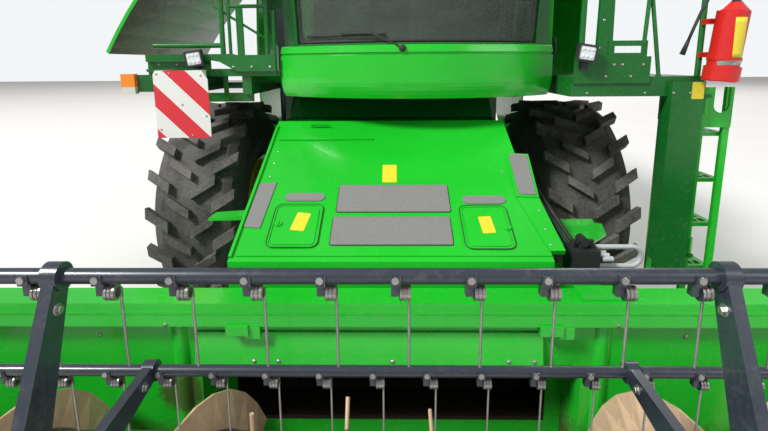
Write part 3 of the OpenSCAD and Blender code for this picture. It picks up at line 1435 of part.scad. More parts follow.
main_frame();
front_axle();
rear_axle();
tyre_front(1);  // tyre_front_left
tyre_front(-1);  // tyre_front_right
rim_front(1);  // rim_front_left
rim_front(-1);  // rim_front_right
knuckle(1);  // knuckle_left
knuckle(-1);  // knuckle_right
tie_rod();
tyre_rear(1);  // tyre_rear_left
tyre_rear(-1);  // tyre_rear_right
rim_rear(1);  // rim_rear_left
rim_rear(-1);  // rim_rear_right
separator_body();
side_frame();
side_drives();
straw_hood();
straw_chopper();
grain_tank();
tank_cover(1);  // tank_cover_left
tank_cover(-1);  // tank_cover_right
engine_block();
engine_hood();
exhaust_stack();
fuel_tank();
cab_body();
cab_glass();
cab_roof();
cab_panel();
cab_door();
operator_seat();
platform_left();
platform_right();
ladder();
fire_extinguisher();
warning_plate();
lamps_and_mirrors();
panel_front(1, 0);  // panel_front_left
panel_front(-1, panel_open);  // panel_front_right
panel_rear(1);  // panel_rear_left
panel_rear(-1);  // panel_rear_right
unloading_tube();
feeder_house();
grip_pads();
header_hoses();
lift_barrels();
lift_rods();
header_frame();
knife_bar();
header_auger();
reel_arms();
reel_carriers();
reel_frame();
reel_bat(0);  // reel_bat_1
reel_bat(1);  // reel_bat_2
reel_bat(2);  // reel_bat_3
reel_bat(3);  // reel_bat_4
reel_bat(4);  // reel_bat_5
reel_bat(5);  // reel_bat_6
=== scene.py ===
"""Looks of a combine harvester with a tined reel header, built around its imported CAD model."""

import json
from math import cos, pi, radians, sin

import bmesh
import bpy
from mathutils import Matrix, Vector
from mathutils.bvhtree import BVHTree


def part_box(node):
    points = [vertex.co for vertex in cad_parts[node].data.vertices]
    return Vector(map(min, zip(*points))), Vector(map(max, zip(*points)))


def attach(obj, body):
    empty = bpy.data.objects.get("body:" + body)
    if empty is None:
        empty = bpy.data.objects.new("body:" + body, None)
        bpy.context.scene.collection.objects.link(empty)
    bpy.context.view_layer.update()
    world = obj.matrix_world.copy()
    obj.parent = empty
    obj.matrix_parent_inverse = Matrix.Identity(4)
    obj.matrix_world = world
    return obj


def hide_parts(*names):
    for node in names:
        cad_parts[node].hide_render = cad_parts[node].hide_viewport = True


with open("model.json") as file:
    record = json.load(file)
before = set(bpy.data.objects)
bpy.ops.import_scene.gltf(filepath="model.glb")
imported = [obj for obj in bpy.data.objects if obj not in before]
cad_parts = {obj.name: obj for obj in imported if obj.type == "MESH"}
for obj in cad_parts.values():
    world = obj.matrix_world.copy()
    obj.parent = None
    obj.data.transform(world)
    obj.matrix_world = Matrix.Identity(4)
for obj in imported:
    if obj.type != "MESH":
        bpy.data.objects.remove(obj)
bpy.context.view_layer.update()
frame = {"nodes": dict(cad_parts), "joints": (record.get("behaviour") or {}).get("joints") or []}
nodes = frame["nodes"]

# Camera: stands in front of the reel at cab-floor height, with a wide lens whose
# frame is shifted down, as the photograph's is.
eye = bpy.data.cameras.new("eye")
eye.lens = 22.5
eye.sensor_width = 36.0
eye.shift_y = -0.0827
eye.clip_end = 200.0
camera = bpy.data.objects.new("camera", eye)
bpy.context.scene.collection.objects.link(camera)
camera.location = (0.012, -4.65, 2.12)
tilt, turn, roll = radians(90 - 10.5), radians(1.0), radians(-0.4)
camera.rotation_euler = (
    Matrix.Rotation(turn, 3, "Z") @ Matrix.Rotation(tilt, 3, "X") @ Matrix.Rotation(roll, 3, "Z")
).to_euler()
bpy.context.scene.camera = camera
bpy.context.scene.view_settings.view_transform = "Standard"


class Wire:
    """A value on its way through a material; sums on it add Math nodes."""

    def __init__(self, tree, socket=None):
        self.tree, self.socket = tree, socket

    def node(self, kind, settings=None, inputs=None, out=0):
        """Adds a shader node of that type; settings come before the inputs."""
        added = self.tree.nodes.new("ShaderNode" + kind)
        for key, value in (settings or {}).items():
            setattr(added, key, value)
        for key, value in (inputs or {}).items():
            if isinstance(value, Wire):
                self.tree.links.new(value.socket, added.inputs[key])
            elif isinstance(value, tuple) and len(value) == 3 and added.inputs[key].type == "RGBA":
                added.inputs[key].default_value = (*value, 1.0)
            else:
                added.inputs[key].default_value = value
        return Wire(self.tree, added.outputs[out])

    def math(self, operation, first, second=0.0):
        return self.node("Math", {"operation": operation}, {0: first, 1: second})

    def __add__(self, other):
        return self.math("ADD", self, other)

    def __sub__(self, other):
        return self.math("SUBTRACT", self, other)

    def __rsub__(self, other):
        return self.math("SUBTRACT", other, self)

    def __mul__(self, other):
        return self.math("MULTIPLY", self, other)

    def __truediv__(self, other):
        return self.math("DIVIDE", self, other)

    def __gt__(self, other):
        return self.math("GREATER_THAN", self, other)

    def __lt__(self, other):
        return self.math("LESS_THAN", self, other)

    __radd__, __rmul__ = __add__, __mul__

    def clip(self, low, high):
        """Rises from 0 to 1 between two values."""
        return self.node("MapRange", {}, {"Value": self, "From Min": low, "From Max": high})

    def noise(self, scale, detail=4.0, rough=0.55):
        """Noise over these coordinates, about 0.5 in its middle."""
        inputs = {"Vector": self, "Scale": scale, "Detail": detail, "Roughness": rough}
        return self.node("TexNoise", {}, inputs)

    def part(self, axis):
        """X, Y or Z of a vector."""
        return self.node("SeparateXYZ", {}, {0: self}, out="XYZ".index(axis))

    def away(self, y, z):
        """Distance from a line along X."""
        flat = self.node("VectorMath", {"operation": "MULTIPLY"}, {0: self, 1: (0.0, 1.0, 1.0)})
        return flat.node("VectorMath", {"operation": "DISTANCE"}, {0: flat, 1: (0.0, y, z)}, out=1)

    def blend(self, low, high):
        """Colour between two colours, with this as the share of the second."""
        return self.node("Mix", {"data_type": "RGBA"}, {"Factor": self, 6: low, 7: high}, out=2)

    def bump(self, strength, distance):
        return self.node("Bump", {}, {"Height": self, "Strength": strength, "Distance": distance})


def finish(name, build, **plain):
    """A material: plain values go on the shader's own sockets, build returns the varying ones."""
    material = bpy.data.materials.new(name)
    material.use_nodes = True
    tree = material.node_tree
    shader = tree.nodes["Principled BSDF"]
    for key, value in plain.items():
        shader.inputs[key.replace("_", " ")].default_value = value
    where = Wire(tree).node("TexCoord", out=3)
    for key, value in build(where).items():
        tree.links.new(value.socket, shader.inputs[key])
    return material


def dress(material, *names):
    """Gives carried-over CAD nodes their finish."""
    for name in names:
        mesh = nodes[name].data
        mesh.materials.clear()
        mesh.materials.append(material)


# Threshing body, hood and tank: pressed and folded sheet in gloss green farm paint,
# a little waved by its folding and dusty low down.
bright, bright_shade = (0.011, 0.50, 0.022), (0.008, 0.41, 0.016)
body_dust = 0.16


def sheet_paint(colour, shade, dust, mask=None, under=None):
    """Farm paint with a film of dust; mask gives the share of another colour under it."""

    def build(where):
        cloud = where.noise(1.3, 3.0)
        speck = where.noise(38.0, 5.0, 0.7)
        grime = (cloud * 0.6 + speck * 0.7).clip(0.62, 0.98)
        low = where.part("Z").clip(2.2, 0.2)
        film = (grime * (0.3 + low * 0.7)) * dust
        paint = cloud.clip(0.3, 0.7).blend(shade, colour)
        if mask:
            paint = mask(where, speck).blend(paint, under)
        return {
            "Base Color": film.blend(paint, (0.30, 0.27, 0.20)),
            "Roughness": speck * 0.14 + film * 0.4 + 0.18,
            "Normal": where.noise(2.2, 2.0).bump(0.12, 0.02),
        }

    return build


green = finish("green paint", sheet_paint(bright, bright_shade, body_dust), Coat_Weight=0.25)
dress(green, "separator_body", "straw_hood", "grain_tank", "tank_cover_left", "tank_cover_right",
      "engine_hood", "fuel_tank", "panel_front_left", "panel_rear_left",
      "panel_rear_right", "unloading_tube", "cab_panel", "cab_roof", "ladder")

# Frame, axles and platforms: steel plate and box section, welded, then painted. Their green
# is darker than the body's as painted shade. More road dust stays on them than on the body.
shade_green, shade_green_dim = (0.005, 0.155, 0.020), (0.004, 0.098, 0.014)
frame_dust = 0.28
painted_shade_green = finish("green paint with painted shade", sheet_paint(shade_green, shade_green_dim, frame_dust))
dress(painted_shade_green, "main_frame", "front_axle", "rear_axle", "knuckle_left", "knuckle_right",
      "side_frame", "straw_chopper", "cab_body", "platform_left", "platform_right")

# Raised side shield: pressed sheet, hinged along its top edge. It is green outside; its
# inner face, turned down, is painted dull dark brown as painted shade.
underside_shade_brown = (0.040, 0.045, 0.026)


def turned_down(where, speck):
    """The faces whose normal points below the level, which take the painted shade."""
    return where.node("TexCoord", out=1).part("Z") < -0.12


shield_paint = finish(
    "shield paint", sheet_paint(bright, bright_shade, body_dust, turned_down, underside_shade_brown), Coat_Weight=0.2
)
dress(shield_paint, "panel_front_right")


# Screws, nuts and rivets: cold-headed steel, zinc plated and dulled here and there. They
# hold the sheet metal together, each one seated on the face under it.
def piece(name, build, material, body, smooth=False):
    """Makes a meshed piece, dresses it and lets it ride on a body."""
    shape = bmesh.new()
    build(shape)
    bmesh.ops.recalc_face_normals(shape, faces=shape.faces)
    for face in shape.faces:
        face.smooth = smooth
    mesh = bpy.data.meshes.new(name)
    shape.to_mesh(mesh)
    shape.free()
    mesh.materials.append(material)
    made = bpy.data.objects.new(name, mesh)
    bpy.context.scene.collection.objects.link(made)
    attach(made, body)
    return made


surfaces = {}


def seat(node, start, way):
    """Point and outward normal where a line from start first meets a CAD node."""
    if node not in surfaces:
        mesh = nodes[node].data
        surfaces[node] = BVHTree.FromPolygons(
            [v.co.copy() for v in mesh.vertices], [tuple(p.vertices) for p in mesh.polygons]
        )
    point, normal, _, _ = surfaces[node].ray_cast(Vector(start), Vector(way).normalized())
    if point is None:
        raise ValueError("nothing of %s on the way from %s" % (node, tuple(start)))
    return point, -normal if normal.dot(Vector(way)) > 0 else normal


def round_turn(steps):
    """Angles of one full turn in equal steps."""
    return [2 * pi * k / steps for k in range(steps)]


def lathe(shape, centre, axis, profile, sides=16):
    """Solid turned round an axis from (radius, height) points."""
    axis = Vector(axis).normalized()
    side = axis.orthogonal().normalized()
    other = axis.cross(side)
    rings = []
    for radius, height in profile:
        middle = Vector(centre) + axis * height
        rings.append([
            shape.verts.new(middle + (side * cos(a) + other * sin(a)) * radius) for a in round_turn(sides)
        ])
    for low, high in zip(rings, rings[1:]):
        for k in range(sides):
            shape.faces.new((low[k - 1], low[k], high[k], high[k - 1]))
    shape.faces.new(rings[0][::-1])
    shape.faces.new(rings[-1])


washer = 0.0025


def bolt(shape, at, normal, flats=0.018):
    """Washer and chamfered hexagon head, from its width across the flats."""
    r = flats * 0.577
    tall = flats * 0.42
    lathe(shape, at, normal, [(r * 1.5, -0.001), (r * 1.5, 0.0015), (r * 1.4, washer)], 14)
    lathe(shape, at, normal, [(r, 0.0), (r, washer + tall * 0.8), (r * 0.86, washer + tall)], 6)


def dome(shape, at, normal, r=0.008):
    """Round-headed screw or rivet."""
    steps = [(r * cos(radians(a)), r * 0.62 * sin(radians(a))) for a in (0, 30, 55, 75)]
    lathe(shape, at, normal, [(r, -0.001)] + steps, 12)


zinc = finish("zinc plate", lambda where: {
    "Base Color": where.noise(70.0).blend((0.50, 0.50, 0.49), (0.28, 0.26, 0.22)),
    "Roughness": where.noise(90.0) * 0.2 + 0.28,
}, Metallic=0.9)


def fixed(name, kind, rows, body, **sizes):
    """Bolts or rivets seated on CAD nodes: rows hold a node, a start and a way."""

    def build(shape):
        for node, start, way in rows:
            at, normal = seat(node, start, way)
            kind(shape, at, normal, **sizes)

    return piece(name, build, zinc, body)


# Feeder house: folded deck with two hatches over a welded channel. Behind the deck's
# edge a darker green is the cab's painted shadow; the channel is near-black painted shade.
deck_edge, deck_dust = -1.53, 0.07
channel_half, channel_foot = 0.716, 0.465
roof_slope, roof_z = 0.554, 2.405
floor_slope, floor_z = 0.8, 2.42
channel_shade_dark = (0.020, 0.016, 0.011)


# Painted shadow of the cab: behind the deck's edge the feeder takes the darker green.
def shaded_behind_edge(where, speck):
    return where.part("Y") > deck_edge


deck_paint = sheet_paint(bright, bright_shade, deck_dust, shaded_behind_edge, shade_green)


def feeder_build(where):
    """Deck paint; the sloping channel inside it, picked out by its walls, roof and floor, is painted
    near-black as painted shade.
    """
    look = deck_paint(where)
    x, y, z = where.part("X"), where.part("Y"), where.part("Z")
    between_walls = (x * x) < channel_half ** 2
    under_roof = z < (y * roof_slope + roof_z)
    over_floor = z > (y * floor_slope + floor_z)
    inside = between_walls * under_roof * over_floor * (z > channel_foot)
    # Painted shade: the inside of the channel is made near-black.
    look["Base Color"] = inside.blend(look["Base Color"], channel_shade_dark)
    return look


feeder_paint = finish("feeder paint", feeder_build, Coat_Weight=0.25)
dress(feeder_paint, "feeder_house")

# Anti-slip mats: self-adhesive sheet faced with grey mineral grit, cut to shape and
# glued to the deck.
def grit_build(where):
    grains = where.noise(420.0, 3.0, 0.8)
    return {
        "Base Color": grains.clip(0.38, 0.66).blend((0.13, 0.13, 0.127), (0.31, 0.305, 0.29)),
        "Roughness": where.noise(300.0) * 0.2 + 0.75,
        "Normal": grains.bump(0.6, 0.003),
    }


dress(finish("anti-slip grit", grit_build), "grip_pads")

# Blank stickers: yellow film with rounded corners, stuck on by hand: one on the deck,
# and one on each hatch, a little askew.
deck_front_y, deck_front_z = -2.65, 1.255
deck_slope = radians(24.3)
deck_up = Vector((0.0, cos(deck_slope), sin(deck_slope)))
deck_out = Vector((0.0, -sin(deck_slope), cos(deck_slope)))
across, rearward, upright = Vector((1.0, 0.0, 0.0)), Vector((0.0, 1.0, 0.0)), Vector((0.0, 0.0, 1.0))


def on_deck(x, s, lift):
    """Point above the deck, s up its slope from the front edge."""
    return Vector((x, deck_front_y, deck_front_z)) + deck_up * s + deck_out * lift


def outline(w, h, r, turned=0.0):
    """Rectangle with round corners about its middle, turned by an angle."""
    points = []
    for cx, cy, first in ((1, 1, 0), (-1, 1, 90), (-1, -1, 180), (1, -1, 270)):
        for k in range(5):
            a = radians(first + 22.5 * k)
            points.append((cx * (w / 2 - r) + r * cos(a), cy * (h / 2 - r) + r * sin(a)))
    c, s = cos(turned), sin(turned)
    return [(x * c - y * s, x * s + y * c) for x, y in points]


def slab(shape, middle, along, up, points, low, high):
    """Thin plate of an outline that lies in the plane of two directions."""
    out = along.cross(up)
    faces = []
    for z in (low, high):
        faces.append([shape.verts.new(middle + along * x + up * y + out * z) for x, y in points])
    for k in range(len(points)):
        shape.faces.new((faces[0][k - 1], faces[0][k], faces[1][k], faces[1][k - 1]))
    shape.faces.new(faces[0][::-1])
    shape.faces.new(faces[1])


film_yellow = finish("yellow film", lambda where: {
    "Base Color": where.noise(60.0).blend((0.80, 0.66, 0.035), (0.66, 0.53, 0.03)),
    "Roughness": where.noise(80.0) * 0.12 + 0.35,
})
# Columns: place across the deck, place up its slope, width, height, lean in degrees.
deck_sticker_rows = (
    (-0.003, 0.643, 0.078, 0.157, 0),
    (-0.435, 0.252, 0.068, 0.125, -9),
    (0.464, 0.229, 0.062, 0.115, 4),
)


def stickers(shape):
    for x, s, w, h, lean in deck_sticker_rows:
        at, _ = seat("feeder_house", on_deck(x, s, 0.2), -deck_out)
        slab(shape, at, across, deck_up, outline(w, h, 0.006, radians(lean)), -0.0002, 0.0012)


piece("deck_stickers", stickers, film_yellow, "feeder")

# Hatch seals: round rubber cord, pressed into the seam round each hatch; a thinner bead
# of it runs round the two middle mats.
rubber = finish("black rubber", lambda where: {
    "Base Color": where.noise(45.0).blend((0.012, 0.012, 0.013), (0.035, 0.034, 0.032)),
    "Roughness": where.noise(60.0) * 0.2 + 0.6,
})


def tube(shape, points, radius, sides=8, closed=False):
    """Round bar along a line of points."""
    points = [Vector(p) for p in points]
    count = len(points)
    rings = []
    side = None
    for k, at in enumerate(points):
        before = points[k - 1] if k or closed else at
        after = points[(k + 1) % count] if k + 1 < count or closed else at
        way = (after - before).normalized()
        side = (side - way * side.dot(way)).normalized() if side else way.orthogonal().normalized()
        other = way.cross(side)
        rings.append([
            shape.verts.new(at + (side * cos(a) + other * sin(a)) * radius) for a in round_turn(sides)
        ])
    pairs = list(zip(rings, rings[1:])) + ([(rings[-1], rings[0])] if closed else [])
    for low, high in pairs:
        for i in range(sides):
            shape.faces.new((low[i - 1], low[i], high[i], high[i - 1]))
    if not closed:
        shape.faces.new(rings[0][::-1])
        shape.faces.new(rings[-1])


# Columns: first and last place across the deck, the same up its slope, corner radius,
# height above the deck.
seal_rows = (
    (-0.575, -0.335, 0.082, 0.381, 0.036, 0.0065),
    (0.345, 0.577, 0.072, 0.368, 0.036, 0.0065),
    (-0.280, 0.293, 0.098, 0.290, 0.012, 0.0015),
    (-0.270, 0.303, 0.323, 0.538, 0.012, 0.0015),
)


def seals(shape):
    for x0, x1, s0, s1, r, lift in seal_rows:
        middle = on_deck((x0 + x1) / 2, (s0 + s1) / 2, lift)
        points = [middle + across * x + deck_up * y for x, y in outline(x1 - x0, s1 - s0, r)]
        tube(shape, points, 0.0022, 6, closed=True)


piece("hatch_seals", seals, rubber, "feeder", smooth=True)

# Deck screws: zinc-plated, round-headed, driven along the folded edges that hold the
# deck to the channel under it.
deck_screw_places = [(-0.66, s) for s in (0.62, 0.74, 0.86)] + [(x, 1.0) for x in (-0.6, -0.35, -0.15)]
deck_screw_places += [(0.62, 0.66), (0.735, 0.10), (0.735, 0.20), (0.74, 0.33)]
fixed("deck_screws", dome,
      [("feeder_house", on_deck(x, s, 0.2), -deck_out) for x, s in deck_screw_places], "feeder", r=0.007)

# Header: long green trough of folded sheet. Its floor is scoured and brown with crop and
# soil, and one patch has rusted; the mouth of the feeder takes the same dark brown as painted shade.
header_dust = 0.14
soil_and_shade_brown = (0.060, 0.040, 0.024)
mouth_half = 0.78
rust_middle = (-0.88, -2.87, 0.76)


def header_dirt_and_shade(where, speck):
    z = where.part("Z") + speck * 0.22
    x = where.part("X")
    # Painted shade: the feeder's mouth, in the middle below about 1 m, takes the dark brown.
    mouth = ((x * x) < mouth_half ** 2) * z.clip(1.00, 0.94)
    patch = where.node("VectorMath", {"operation": "DISTANCE"}, {0: where, 1: rust_middle}, out=1)
    rust = (patch + speck * 0.08).clip(0.155, 0.115) * 0.8
    return (z.clip(0.74, 0.58) + mouth + rust).clip(0.0, 1.0)


header_paint = finish(
    "header paint", sheet_paint(bright, bright_shade, header_dust, header_dirt_and_shade, soil_and_shade_brown), Coat_Weight=0.2
)
dress(header_paint, "header_frame")


def from_front(node, places, start_y):
    """Rows for fixed(): each (x, z) place, met from in front."""
    return [(node, (x, start_y, z), (0, 1, 0)) for x, z in places]


flap_bolt_places = [(x, 0.925) for x in (-0.555, -0.455, 0.011, 0.481, 0.585)]
flap_bolt_places += [(x * s, 1.095) for s in (-1, 1) for x in (0.9, 1.35, 1.8, 2.25, 2.7)]
flap_bolt_places += [(x * s, 1.02) for s in (-1, 1) for x in (1.2, 1.9, 2.6)]
fixed("flap_bolts", dome, from_front("header_frame", flap_bolt_places, -4.0), "feeder", r=0.009)


def header_sticker(shape):
    at, normal = seat("header_frame", (0.03, -2.817, 3.0), (0, 0, -1))
    slab(shape, at, across, normal.cross(across), outline(0.032, 0.042, 0.003), -0.0002, 0.001)


piece("header_sticker", header_sticker, film_yellow, "feeder")

# Knife, rods, exhaust and engine: bare forged and drawn steel, and cast iron, rubbed by
# crop or heat and brown with light rust.
def steel_build(where):
    speck = where.noise(30.0, 6.0, 0.65)
    cloud = where.noise(3.5, 4.0)
    rust = (cloud * 0.7 + speck * 0.5).clip(0.5, 0.85)
    return {
        "Base Color": rust.blend((0.24, 0.23, 0.215), (0.115, 0.07, 0.042)),
        "Metallic": 0.75 - rust * 0.6,
        "Roughness": rust * 0.3 + 0.38,
    }


steel = finish("worn steel", steel_build)
dress(steel, "knife_bar", "lift_rods", "tie_rod", "exhaust_stack", "engine_block")

# Auger: rolled tube, dark with old dirt, with flights of bent sheet welded round it and
# polished to a dusty beige by straw.
def corners(box):
    """Low and high corner of a node's box, as vectors."""
    low, high = box
    return Vector(low), Vector(high)


auger_low, auger_high = corners(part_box("header_auger"))
auger_y, auger_z = (auger_low.y + auger_high.y) / 2, (auger_low.z + auger_high.z) / 2


def auger_build(where):
    speck = where.noise(26.0, 6.0, 0.65)
    flight = where.away(auger_y, auger_z).clip(0.152, 0.160)
    dirt = (where.noise(3.0, 4.0) * 0.6 + speck * 0.5).clip(0.42, 0.72)
    tubing = dirt.blend((0.085, 0.070, 0.054), (0.046, 0.040, 0.032))
    blade = dirt.blend((0.70, 0.49, 0.32), (0.48, 0.33, 0.21))
    return {
        "Base Color": flight.blend(tubing, blade),
        "Roughness": dirt * 0.25 + 0.4,
        "Metallic": flight * 0.25,
        "Normal": speck.bump(0.2, 0.002),
    }


dress(finish("auger steel", auger_build), "header_auger")

# Finger guides: pressed steel caps, zinc plated and screwed to the auger tube, one
# above each finger's slot. Columns: place along the tube, angle round it in degrees.
guide_rows = ((-0.305, 90), (-0.214, 96), (-0.03, 88), (0.197, 92), (-0.42, 210),
              (0.06, 215), (0.33, 205), (-0.12, 330), (0.25, 325), (0.44, 335))
guide_profile = [(0.030, -0.006), (0.030, 0.004), (0.024, 0.014), (0.014, 0.020), (0.013, 0.013)]


def finger_guides(shape):
    for x, a in guide_rows:
        out = Vector((0.0, cos(radians(a)), sin(radians(a))))
        at, _ = seat("header_auger", Vector((x, auger_y, auger_z)) + out * 0.5, -out)
        lathe(shape, at, out, guide_profile, 16)


piece("finger_guides", finger_guides, zinc, "header_auger", smooth=True)

# Reel: welded tube, arms and bars in black paint with a blue cast, rubbed brown
# below by the crop; the tines are bare spring wire with plated bolts.
def black_colours(where):
    speck = where.noise(60.0, 5.0, 0.7)
    cloud = where.noise(4.0, 3.0)
    film = (cloud * 0.5 + speck * 0.7).clip(0.62, 1.0) * 0.4
    return film, film.blend((0.026, 0.034, 0.048), (0.19, 0.17, 0.15))


def black_build(where):
    film, colour = black_colours(where)
    return {
        "Base Color": colour,
        "Roughness": film * 0.4 + 0.3,
        "Normal": where.noise(14.0).bump(0.05, 0.004),
    }


black = finish("black paint", black_build, Coat_Weight=0.25)
dress(black, "side_drives", "lift_barrels", "reel_arms", "reel_carriers", "reel_frame")


def pivot_of(joint):
    """Place of a joint in the frame."""
    return next(row for row in frame["joints"] if row["name"] == joint)["pos_m"]


bars = ["reel_bat_%d" % i for i in range(1, 7)]
bar_r, tine_pitch, wire_side = 0.0165, 0.1524, 0.0095
# Distance of the first tine from the bar's end stub, for odd and even bars.
bar_stub, first_gaps = 0.016, (0.0310, 0.0934)
for i, bar in enumerate(bars):
    _, bar_y, bar_z = pivot_of(bar + "_turn")
    first_tine = corners(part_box(bar))[0].x + bar_stub + first_gaps[i % 2]

    def tine_build(where, y=bar_y, z=bar_z, first=first_tine):
        film, colour = black_colours(where)
        place = (where.part("X") - first + 3 * tine_pitch) / tine_pitch
        place = place.math("FRACT", place)
        coil = (place > wire_side / tine_pitch) * (place < 0.6)
        head = where.part("Y") < y - bar_r - 0.0042
        wire = (where.away(y, z) > bar_r + 0.0012) * (coil + head).clip(0.0, 1.0)
        worn = where.noise(35.0, 4.0).blend((0.44, 0.43, 0.42), (0.22, 0.20, 0.18))
        return {
            "Base Color": wire.blend(colour, worn),
            "Metallic": wire * 0.7,
            "Roughness": film * 0.4 + 0.3,
        }

    dress(finish("tine bar %d" % (i + 1), tine_build, Coat_Weight=0.2), bar)

# Clamp bolts of the reel: hexagon bolts of plated steel, one below each tine bar,
# through the tip of the arm's plate and shown on both its faces.
plate_places = (-19.5, -13.5, -4.5, 4.5, 13.5, 19.5)
plate_half, bolt_drop = 0.013, 0.066


def clamp_bolts(shape):
    hub = Vector(pivot_of("reel_spin"))
    tips = [Vector(pivot_of(bar + "_turn")) for bar in bars]
    for place in plate_places:
        for tip in tips:
            at = tip + (hub - tip).normalized() * bolt_drop
            at.x = place * tine_pitch
            for s in (-1, 1):
                bolt(shape, at + across * (s * plate_half), across * s, 0.016)


piece("clamp_bolts", clamp_bolts, zinc, "reel_frame")

# Wheels: lugged rubber tyres, dusty on the lugs' outer faces and darker between them,
# on pressed rims in yellow paint, each rim held by a ring of plated nuts.
def tyre_paint(y, z, r):
    """Tyre rubber round a hub, with more dust towards the lugs' tips."""

    def build(where):
        speck = where.noise(55.0, 6.0, 0.7)
        cloud = where.noise(5.0, 3.0)
        reach = where.away(y, z).clip(r * 0.86, r * 0.99)
        film = ((cloud * 0.5 + speck * 0.5).clip(0.35, 0.75)) * (0.30 + reach * 0.70)
        return {
            "Base Color": film.blend((0.022, 0.023, 0.024), (0.215, 0.195, 0.170)),
            "Roughness": speck * 0.15 + 0.72,
            "Normal": speck.bump(0.35, 0.004),
        }

    return build


def wheel_yellow(where):
    speck = where.noise(40.0, 5.0, 0.7)
    film = speck.clip(0.45, 0.8) * 0.5
    return {
        "Base Color": film.blend((0.80, 0.56, 0.02), (0.34, 0.28, 0.18)),
        "Roughness": film * 0.4 + 0.33,
    }


yellow = finish("yellow wheel paint", wheel_yellow, Coat_Weight=0.2)
wall_ring_shares = (0.60, 0.64, 0.80)
# Columns: end of the machine, number of wheel nuts, radius of the circle they are on.
for end, nuts, nut_r in (("front", 12, 0.232), ("rear", 8, 0.150)):
    for side, s in (("left", 1), ("right", -1)):
        place = "%s_%s" % (end, side)
        tyre_node, rim_node, wheel = "tyre_" + place, "rim_" + place, "wheel_" + place
        low, high = corners(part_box(tyre_node))
        hub = (low + high) / 2
        radius = (high.z - low.z) / 2
        dress(finish("%s %s tyre" % (end, side), tyre_paint(hub.y, hub.z, radius)), tyre_node)
        dress(yellow, rim_node)
        rows = []
        for k in range(nuts):
            a = 2 * pi * (k + 0.5) / nuts
            start = Vector((hub.x + s * 1.2, hub.y + nut_r * cos(a), hub.z + nut_r * sin(a)))
            rows.append((rim_node, start, (-s, 0, 0)))
        fixed("wheel_nuts_" + place, bolt, rows, wheel, flats=0.034)

        # Moulded rings on the tyre's wall, beside the bead and below the lugs.
        def wall_rings(shape, hub=hub, node=tyre_node, s=s, r=radius):
            for share in wall_ring_shares:
                ring = []
                for a in round_turn(64):
                    start = Vector((hub.x + s, hub.y + r * share * cos(a), hub.z + r * share * sin(a)))
                    ring.append(seat(node, start, (-s, 0, 0))[0])
                tube(shape, ring, 0.005, 6, closed=True)

        piece("wall_rings_" + place, wall_rings, rubber, wheel, smooth=True)

# Cab windows: curved safety glass with a slight tint and a film of dust, let into the
# cab's sheet metal.
def glass_build(where):
    haze = where.noise(7.0, 4.0)
    return {
        "Base Color": haze.blend((0.055, 0.070, 0.062), (0.135, 0.160, 0.140)),
        "Roughness": haze * 0.06 + 0.03,
    }


dress(finish("cab glass", glass_build, Alpha=0.42), "cab_glass")

# Cab door: folded frame in gloss green round a pane of the same tinted glass, which is
# glued in; both are hung as one.
door_sheet = sheet_paint(bright, bright_shade, body_dust)
door_pane_y, door_pane_z = (-1.269, -0.491), (2.321, 3.349)


def door_build(where):
    look, tint = door_sheet(where), glass_build(where)
    y, z = where.part("Y"), where.part("Z")
    pane = (y > door_pane_y[0]) * (y < door_pane_y[1]) * (z > door_pane_z[0]) * (z < door_pane_z[1])
    look["Base Color"] = pane.blend(look["Base Color"], tint["Base Color"])
    look["Roughness"] = look["Roughness"] * (1.0 - pane) + pane * 0.06
    look["Alpha"] = 1.0 - pane * 0.58
    return look


dress(finish("door paint", door_build, Coat_Weight=0.25), "cab_door")

# Window gaskets: extruded black rubber, pressed over the edges of the windscreen and of
# the panes in the cab's sides. Angles on the windscreen are in degrees.
pane_low, pane_high = corners(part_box("cab_glass"))
cab_x = (pane_low.x + pane_high.x) / 2
screen_axis_y = -0.455
screen_side = 36
# Columns: x of the pane, its first and last y, z of its foot.
side_panes = ((pane_low.x, -1.32, -0.19, 2.32), (pane_high.x, -0.32, -0.13, 2.32))


def on_screen(angle, z, lift=0.0):
    """Point on the windscreen, at an angle from its middle towards the machine's left."""
    way = Vector((sin(radians(angle)), -cos(radians(angle)), 0.0))
    at, _ = seat("cab_glass", Vector((cab_x, screen_axis_y, z)) + way * 1.9, -way)
    return at + way * lift


def gaskets(shape):
    low, high = pane_low.z + 0.012, pane_high.z - 0.012
    angles = range(-screen_side, screen_side + 1, 4)
    line = [on_screen(a, low) for a in angles]
    line += [on_screen(screen_side, low + (high - low) * k / 5) for k in range(1, 5)]
    line += [on_screen(a, high) for a in reversed(angles)]
    line += [on_screen(-screen_side, high - (high - low) * k / 5) for k in range(1, 5)]
    tube(shape, line, 0.009, 8, closed=True)
    for x, y0, y1, z0 in side_panes:
        out = 0.004 if x > cab_x else -0.004
        middle = Vector((x + out, (y0 + y1) / 2, (z0 + high) / 2))
        frame_line = [middle + Vector((0, u, v)) for u, v in outline(y1 - y0, high - z0, 0.03)]
        tube(shape, frame_line, 0.010, 8, closed=True)


piece("window_gaskets", gaskets, rubber, "chassis", smooth=True)

# Wiper: bent steel arm on a capped pivot, with a rubber blade, all of it black; it is
# parked along the foot of the windscreen.
wiper_cap = [(0.022, -0.01), (0.022, 0.028), (0.015, 0.04)]
arm_z, blade_z, joint_angle = pane_low.z + 0.055, pane_low.z + 0.048, -21


def wiper(shape):
    pivot, _ = seat("cab_panel", Vector((cab_x - 0.10, -3.0, pane_low.z - 0.035)), (0, 1, 0))
    lathe(shape, pivot + Vector((0, 0.02, 0)), (0, -1, 0), wiper_cap, 14)
    arm = [pivot + Vector((0, -0.012, 0)), on_screen(-9, pane_low.z + 0.02, 0.03)]
    arm += [on_screen(a, arm_z, 0.026) for a in (-13, -17, joint_angle)]
    tube(shape, arm, 0.006, 8)
    blade = [on_screen(a, blade_z, 0.012) for a in range(-33, -7, 3)]
    tube(shape, blade, 0.007, 6)
    link = [on_screen(joint_angle, arm_z, 0.027), on_screen(joint_angle, blade_z, 0.011)]
    tube(shape, link, 0.005, 6)


piece("screen_wiper", wiper, rubber, "chassis", smooth=True)

